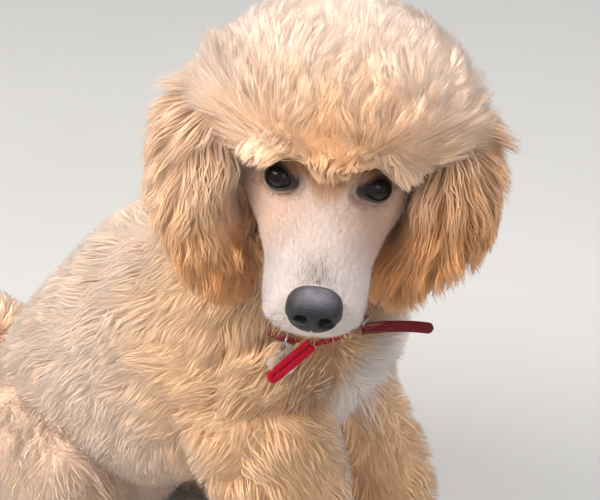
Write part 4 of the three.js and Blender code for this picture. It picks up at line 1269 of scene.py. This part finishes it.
hanging = unit(flattened(DOWN_IN_FRONT, ring_way))
disc_at = ring_at + hanging * RING_RADIUS + DOWN_IN_FRONT * 8
bpy.ops.mesh.primitive_cylinder_add(vertices=96, radius=TAG_RADIUS, depth=1.4)
tag = bpy.context.object
tag.name = "round_tag"
bpy.ops.mesh.primitive_cylinder_add(vertices=40, radius=2.2, depth=6, location=(0, 8, 0))
punch = bpy.context.object
bpy.ops.object.transform_apply(location=True, rotation=True, scale=True)
cut = tag.modifiers.new("cut", "BOOLEAN")
cut.operation = "DIFFERENCE"
cut.object = punch
soften = tag.modifiers.new("soften", "BEVEL")
soften.width = 0.35
soften.segments = 3
soften.limit_method = "ANGLE"
apply_modifiers(tag)
bpy.data.objects.remove(punch)
tag_axes = np.column_stack([np.cross(-DOWN_IN_FRONT, FRONT), -DOWN_IN_FRONT, FRONT])
write_points(tag, to_world(read_points(tag) @ tag_axes.T + disc_at))
select_only(tag)
bpy.ops.object.shade_smooth_by_angle(angle=math.radians(35))

turns = np.linspace(0, 2 * np.pi, 72, endpoint=False)
rounded = [np.sign(part) * np.abs(part) ** 0.45 for part in (np.cos(turns), np.sin(turns))]
frame_path = buckle_at + buckle_face * 3 + np.outer(rounded[0], buckle_way * 4.5)
frame_path += np.outer(rounded[1], buckle_up * 6.0)
buckle = ribbon("buckle_frame", frame_path, buckle_face, 1.9, 1.9, closed=True, corner=0.9)
shares = np.linspace(0, 1, 20)[:, None]
lift = buckle_face * (3 + 1.2 * np.sin(np.pi * shares))
prong_path = buckle_at + lift + buckle_way * (9 * shares - 4.5)
prong = ribbon("buckle_prong", prong_path, buckle_face, 1.5, 1.3, corner=0.9)

# %% [markdown]
# Materials are built from the same few nodes. Colours are written as they look on a screen and turned
# into light by one function, and patterns are sized in real millimetres.


# %% Material helpers
def linear(code):
    parts = [int(code[k : k + 2], 16) / 255 for k in (0, 2, 4)]
    return (*[part / 12.92 if part <= 0.04045 else ((part + 0.055) / 1.055) ** 2.4 for part in parts], 1)


def add_node(tree, kind, inputs=(), **settings):
    """A node; each input is a pair of a socket's name or number and a value or another socket."""
    node = tree.nodes.new("ShaderNode" + kind)
    for key, value in settings.items():
        setattr(node, key, value)
    for key, value in inputs:
        if isinstance(value, bpy.types.NodeSocket):
            tree.links.new(value, node.inputs[key])
        else:
            node.inputs[key].default_value = value
    return node


def new_material(name, roughness, **constants):
    material = bpy.data.materials.new(name)
    material.use_nodes = True
    tree = material.node_tree
    tree.nodes.clear()
    shader = add_node(tree, "BsdfPrincipled", [("Roughness", roughness)])
    for key, value in constants.items():
        shader.inputs[key.replace("_", " ").title()].default_value = value
    add_node(tree, "OutputMaterial", [("Surface", shader.outputs[0])])
    return material, tree, shader


def mixed_colour(tree, share, first, second, blend="MIX"):
    inputs = [(0, share), (6, first), (7, second)]
    return add_node(tree, "Mix", inputs, data_type="RGBA", blend_type=blend).outputs[2]


def shaded(tree, colour, factor):
    return mixed_colour(tree, 1.0, colour, factor, "MULTIPLY")


def attribute(tree, name):
    return add_node(tree, "Attribute", attribute_name=name).outputs["Fac"]


def maths(tree, operation, first, second=0.5, third=0.5):
    return add_node(tree, "Math", [(0, first), (1, second), (2, third)], operation=operation).outputs[0]


def object_places(tree):
    return add_node(tree, "TexCoord").outputs["Object"]


def noise(tree, size, detail=3.0, vector=None, rough=0.5):
    """Noise whose features are about size millimetres across."""
    if vector is None:
        vector = object_places(tree)
    inputs = [("Vector", vector), ("Scale", 1000 / size), ("Detail", detail), ("Roughness", rough)]
    return add_node(tree, "TexNoise", inputs).outputs["Fac"]


def cells(tree, size):
    """The distance from the edges of cells about size millimetres across."""
    inputs = [("Vector", object_places(tree)), ("Scale", 1000 / size)]
    return add_node(tree, "TexVoronoi", inputs, feature="DISTANCE_TO_EDGE").outputs["Distance"]


def ramp(tree, value, *stops):
    node = add_node(tree, "ValToRGB", [(0, value)])
    while len(node.color_ramp.elements) < len(stops):
        node.color_ramp.elements.new(0.5)
    for element, (place, colour) in zip(node.color_ramp.elements, stops):
        element.position = place
        element.color = colour if isinstance(colour, tuple) else (colour, colour, colour, 1)
    return node.outputs[0]


def bump(tree, shader, height, distance, strength=1.0):
    made = add_node(tree, "Bump", [("Height", height), ("Distance", distance), ("Strength", strength)])
    tree.links.new(made.outputs[0], shader.inputs["Normal"])


APRICOT, CREAM, TAN = linear("F4C08C"), linear("FAE8DC"), linear("DE9F68")
SHAVED, BRIDGE_HIGHLIGHT, MUZZLE = linear("E4BDA6"), linear("EFDBCF"), linear("D8C8C2")
SLATE, RIM, BROW = linear("857F82"), linear("2A1E1F"), linear("D9A578")

# %% [markdown]
# The coat is apricot, cream on the crown and chest and a deeper tan on the ears; the left ear's extra
# tan is painted shade. Each tuft is a little darker and warmer at its root, which is painted shade deep
# in the coat, and differs slightly from its neighbours, because no two locks of a real coat are one
# colour.


# %% Coat and skin
def marked_colour(tree):
    """The colour of the coat, or of the clipped skin where no coat grows."""
    coat = mixed_colour(tree, attribute(tree, "pale"), APRICOT, CREAM)
    # The ears' tan also holds painted shade on the left ear.
    coat = mixed_colour(tree, attribute(tree, "tan"), coat, TAN)
    coat = shaded(tree, coat, ramp(tree, noise(tree, 38, 2), (0.3, 0.9), (0.7, 1.06)))
    clipped = mixed_colour(tree, attribute(tree, "muzzle"), SHAVED, MUZZLE)
    # A painted highlight along the bridge.
    clipped = mixed_colour(tree, maths(tree, "MULTIPLY", attribute(tree, "blaze"), 0.8), clipped, BRIDGE_HIGHLIGHT)
    clipped = shaded(tree, clipped, ramp(tree, noise(tree, 22, 3), (0.3, 0.92), (0.7, 1.05)))
    clipped = mixed_colour(tree, maths(tree, "MULTIPLY", attribute(tree, "grey"), 0.6), clipped, SLATE)
    clipped = mixed_colour(tree, maths(tree, "MULTIPLY", attribute(tree, "brow"), 0.85), clipped, BROW)
    return mixed_colour(tree, attribute(tree, "furry"), clipped, coat)


coat_finish, tree, shader = new_material("coat_fleece", 0.8, sheen_weight=0.3, sheen_roughness=0.5)
shader.inputs["Specular IOR Level"].default_value = 0.25
shader.subsurface_method = "BURLEY"
shader.inputs["Subsurface Weight"].default_value = 0.5
shader.inputs["Subsurface Radius"].default_value = (1.0, 0.75, 0.55)
shader.inputs["Subsurface Scale"].default_value = 0.005
# Roots are painted darker and warmer than the tips: painted shade and warm scattered light deep in the
# coat.
deep_coat_shade_tint = (0.98, 0.88, 0.78, 1)
root_shade = ramp(tree, attribute(tree, "along"), (0.0, deep_coat_shade_tint), (0.6, 0.99), (1.0, 1.03))
vary_shade = ramp(tree, attribute(tree, "vary"), (0.0, 0.95), (1.0, 1.04))
colour = shaded(tree, marked_colour(tree), root_shade)
colour = shaded(tree, colour, vary_shade)
dark_hair = maths(tree, "LESS_THAN", attribute(tree, "vary"), 0.22)
dark_hair = maths(tree, "MULTIPLY", dark_hair, maths(tree, "MULTIPLY", attribute(tree, "grey"), 0.9))
colour = mixed_colour(tree, dark_hair, colour, linear("5B5358"))
tree.links.new(colour, shader.inputs["Base Color"])

skin_finish, tree, shader = new_material("shaved_skin", 0.62, sheen_weight=0.25, sheen_roughness=0.5)
shader.inputs["Subsurface Weight"].default_value = 0.12
shader.inputs["Subsurface Radius"].default_value = (1.0, 0.45, 0.3)
shader.inputs["Subsurface Scale"].default_value = 0.0025
stubble = noise(tree, 0.9, 4, rough=0.7)
colour = shaded(tree, marked_colour(tree), ramp(tree, stubble, (0.35, 0.88), (0.6, 1.03)))
colour = mixed_colour(tree, attribute(tree, "lip"), colour, linear("3B2C2C"))
colour = mixed_colour(tree, attribute(tree, "rim"), colour, RIM)
tree.links.new(colour, shader.inputs["Base Color"])
bump(tree, shader, stubble, 0.0004, 0.8)
skin.data.materials.append(skin_finish)
for coat in coats:
    coat.data.materials.append(coat_finish)

# %% [markdown]
# Eyes are dark brown with a black pupil under a clear coat. The nose is pebbled leather, paler, in a
# pinkish grey, in patches along its top edge. Claws are horn with fine lines along them.

# %% Eyes, nose and claws
eye_finish, tree, shader = new_material("wet_eye", 0.4, coat_weight=1.0, coat_roughness=0.02)
shader.inputs["Coat IOR"].default_value = 1.34
shader.inputs["Specular IOR Level"].default_value = 0.05
gaze = attribute(tree, "gaze")
fibres = noise(tree, 0.8, 4)
iris = mixed_colour(tree, fibres, linear("120A08"), linear("24150F"))
pupil = ramp(tree, gaze, (0.27, 0.0), (0.31, 1.0))
colour = mixed_colour(tree, pupil, linear("040304"), iris)
white = ramp(tree, gaze, (0.62, 0.0), (0.8, 1.0))
colour = mixed_colour(tree, white, colour, linear("1D1514"))
tree.links.new(colour, shader.inputs["Base Color"])
for eye in eyes:
    eye.data.materials.append(eye_finish)

nose_finish, tree, shader = new_material("nose_leather", 0.5, coat_weight=0.12, coat_roughness=0.25)
shader.inputs["Specular IOR Level"].default_value = 0.35
pebbles = ramp(tree, cells(tree, 1.15), (0.0, 0.0), (0.35, 1.0))
patchy = ramp(tree, noise(tree, 7, 3), (0.3, 0.55), (0.65, 1.0))
pale_top = maths(tree, "MULTIPLY", attribute(tree, "pale_top"), patchy)
colour = mixed_colour(tree, pale_top, linear("1B1A1F"), linear("9A949E"))
colour = shaded(tree, colour, ramp(tree, pebbles, (0.0, 0.6), (1.0, 1.05)))
# Painted shade inside the nostrils.
colour = mixed_colour(tree, attribute(tree, "nostril_shade"), colour, linear("070608"))
tree.links.new(colour, shader.inputs["Base Color"])
bump(tree, shader, pebbles, 0.00025, 0.9)
nose.data.materials.append(nose_finish)

claw_finish, tree, shader = new_material("dark_horn", 0.38)
lines = noise(tree, 1.0, 3, rough=0.7)
tree.links.new(mixed_colour(tree, lines, linear("2B2320"), linear("5A4B42")), shader.inputs["Base Color"])
bump(tree, shader, lines, 0.0002, 0.5)
for piece in claw_pieces.values():
    piece.data.materials.append(claw_finish)


# %% [markdown]
# Web and braid are woven from threads under a millimetre wide. Two crossed waves along the ribbon's own
# UV give the weave, and a slanted pair gives the braid. The free end is leather, darker and matt.


# %% Collar finishes
def woven(name, first, second, thread, slant, height=0.0004):
    """Threads of the given width in millimetres, raised by height in metres."""
    material, tree, shader = new_material(name, 0.7, sheen_weight=0.02)
    shader.inputs["Specular IOR Level"].default_value = 0.15
    uv = add_node(tree, "UVMap", uv_map="weave").outputs[0]
    parts = add_node(tree, "SeparateXYZ", [(0, uv)])
    run = maths(tree, "MULTIPLY", parts.outputs[0], 2 * math.pi * 1000 / thread)
    lap = maths(tree, "MULTIPLY", parts.outputs[1], 2 * math.pi * 12)
    one = maths(tree, "SINE", maths(tree, "ADD", run, maths(tree, "MULTIPLY", lap, slant)))
    two = maths(tree, "SINE", maths(tree, "SUBTRACT", maths(tree, "MULTIPLY", run, slant), lap))
    threads = maths(tree, "MULTIPLY_ADD", maths(tree, "MULTIPLY", one, two), 0.5, 0.5)
    colour = mixed_colour(tree, threads, linear(second), linear(first))
    colour = shaded(tree, colour, ramp(tree, noise(tree, 9, 3), (0.3, 0.82), (0.7, 1.06)))
    tree.links.new(colour, shader.inputs["Base Color"])
    bump(tree, shader, threads, height, 0.9)
    return material


strap.data.materials.append(woven("red_web", "C41230", "86091C", 0.9, 0.0))
loop.data.materials.append(woven("red_braid", "E8143C", "96061F", 1.6, 1.0, height=0.0006))
leather, tree, shader = new_material("red_leather", 0.55)
shader.inputs["Specular IOR Level"].default_value = 0.2
creases = ramp(tree, cells(tree, 0.7), (0.0, 0.0), (0.3, 1.0))
colour = mixed_colour(tree, noise(tree, 12, 3), linear("5C0C12"), linear("76161C"))
colour = shaded(tree, colour, ramp(tree, creases, (0.0, 0.75), (1.0, 1.0)))
tree.links.new(colour, shader.inputs["Base Color"])
bump(tree, shader, creases, 0.00015, 0.7)
leather_end.data.materials.append(leather)


def polished(name, code, scratched, roughness):
    """Metal with fine scratches that run one way."""
    material, tree, shader = new_material(name, roughness, metallic=1.0)
    inputs = [("Vector", object_places(tree)), ("Scale", (1.0, 1.0, 7.0))]
    stretched = add_node(tree, "Mapping", inputs).outputs[0]
    scratch = noise(tree, 1.6, 5, stretched, 0.75)
    colour = mixed_colour(tree, noise(tree, 6, 2), linear(code), linear(scratched))
    tree.links.new(colour, shader.inputs["Base Color"])
    rough = ramp(tree, scratch, (0.3, roughness), (0.75, roughness + 0.2))
    tree.links.new(rough, shader.inputs["Roughness"])
    bump(tree, shader, scratch, 0.00005, 0.4)
    return material


steel = polished("polished_steel", "D4D6DA", "B4B7BC", 0.2)
for piece in (buckle, prong, split_ring):
    piece.data.materials.append(steel)
tag.data.materials.append(polished("brushed_tag", "E4E1DA", "C9C6C0", 0.34))

# %% [markdown]
# Large soft lights stand in for the daylight of the room. The key comes from the upper left, a weak
# fill from the right keeps the far ear open, and the pale floor sends light back up under the chin.

# %% Light and floor
def area_light(name, place, size, energy, tint):
    """A round light that looks at the eyes from a place given from there, in metres."""
    bpy.ops.object.light_add(type="AREA")
    light = bpy.context.object
    light.name = name
    light.data.shape = "DISK"
    light.data.size = size
    light.data.energy = energy
    light.data.color = tint
    centre = Vector(sight * MM)
    light.location = centre + Vector(place)
    light.rotation_euler = (centre - light.location).to_track_quat("-Z", "Y").to_euler()


UP = np.array([0, 0, 1.0])
area_light("key", side_way * -1.35 + back * 0.75 + UP * 0.95, 1.3, 48, (1.0, 0.98, 0.95))
area_light("fill", side_way * 0.8 + back * 1.6 + UP * 0.2, 1.2, 6, (0.95, 0.97, 1.0))
area_light("top", side_way * 0.8 + back * -0.2 + UP * 1.8, 1.4, 19, (0.98, 0.98, 1.0))
world = bpy.data.worlds.new("room")
bpy.context.scene.world = world
world.use_nodes = True
sky = world.node_tree.nodes["Background"]
sky.inputs["Color"].default_value = (0.9, 0.92, 0.95, 1)
sky.inputs["Strength"].default_value = 0.68

# %% [markdown]
# Each piece rides on the root, and the plain parts that it takes the place of are hidden. A table names
# the material slot of each piece.

# %% Attach the pieces and hide the plain parts
CLAW_NODES = {kind: [f"{kind}_{number}" for number in range(1, 5)] for kind in claw_pieces}
everything = [skin, *coats, *eyes, nose, *claw_pieces.values()]
everything += [strap, leather_end, loop, split_ring, tag, buckle, prong]
for piece in everything:
    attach(piece, "root")
FLESH = (("head", "neck", "torso", "ear_", "foreleg", "forepaw"), ("hindleg", "hindpaw", "tail"))
flesh = [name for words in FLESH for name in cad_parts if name.startswith(words)]
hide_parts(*flesh)
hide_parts("eye_right")
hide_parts("eye_left")
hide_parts("nose")
for kind, piece in claw_pieces.items():
    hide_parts(*CLAW_NODES[kind])
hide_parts("collar_strap")
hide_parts("collar_strap_end")
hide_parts("collar_loop")
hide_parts("tag_ring")
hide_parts("tag")
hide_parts("collar_buckle")
SLOTS = {skin: "short_coat", nose: "nose_leather", eyes[0]: "eye", eyes[1]: "eye", strap: "red_webbing"}
SLOTS |= {leather_end: "red_leather", loop: "red_webbing", split_ring: "steel", tag: "tag_metal"}
SLOTS |= {buckle: "steel", prong: "steel"}

bpy.ops.mesh.primitive_plane_add(size=8)
floor = bpy.context.object
floor.name = "floor"
floor_finish, tree, shader = new_material("pale_floor", 0.7)
colour = mixed_colour(tree, noise(tree, 400, 2), linear("C9C6C1"), linear("D3D0CC"))
tree.links.new(colour, shader.inputs["Base Color"])
floor.data.materials.append(floor_finish)
for piece in everything:
    piece.data.calc_loop_triangles()
print("triangles:", sum(len(piece.data.loop_triangles) for piece in everything))
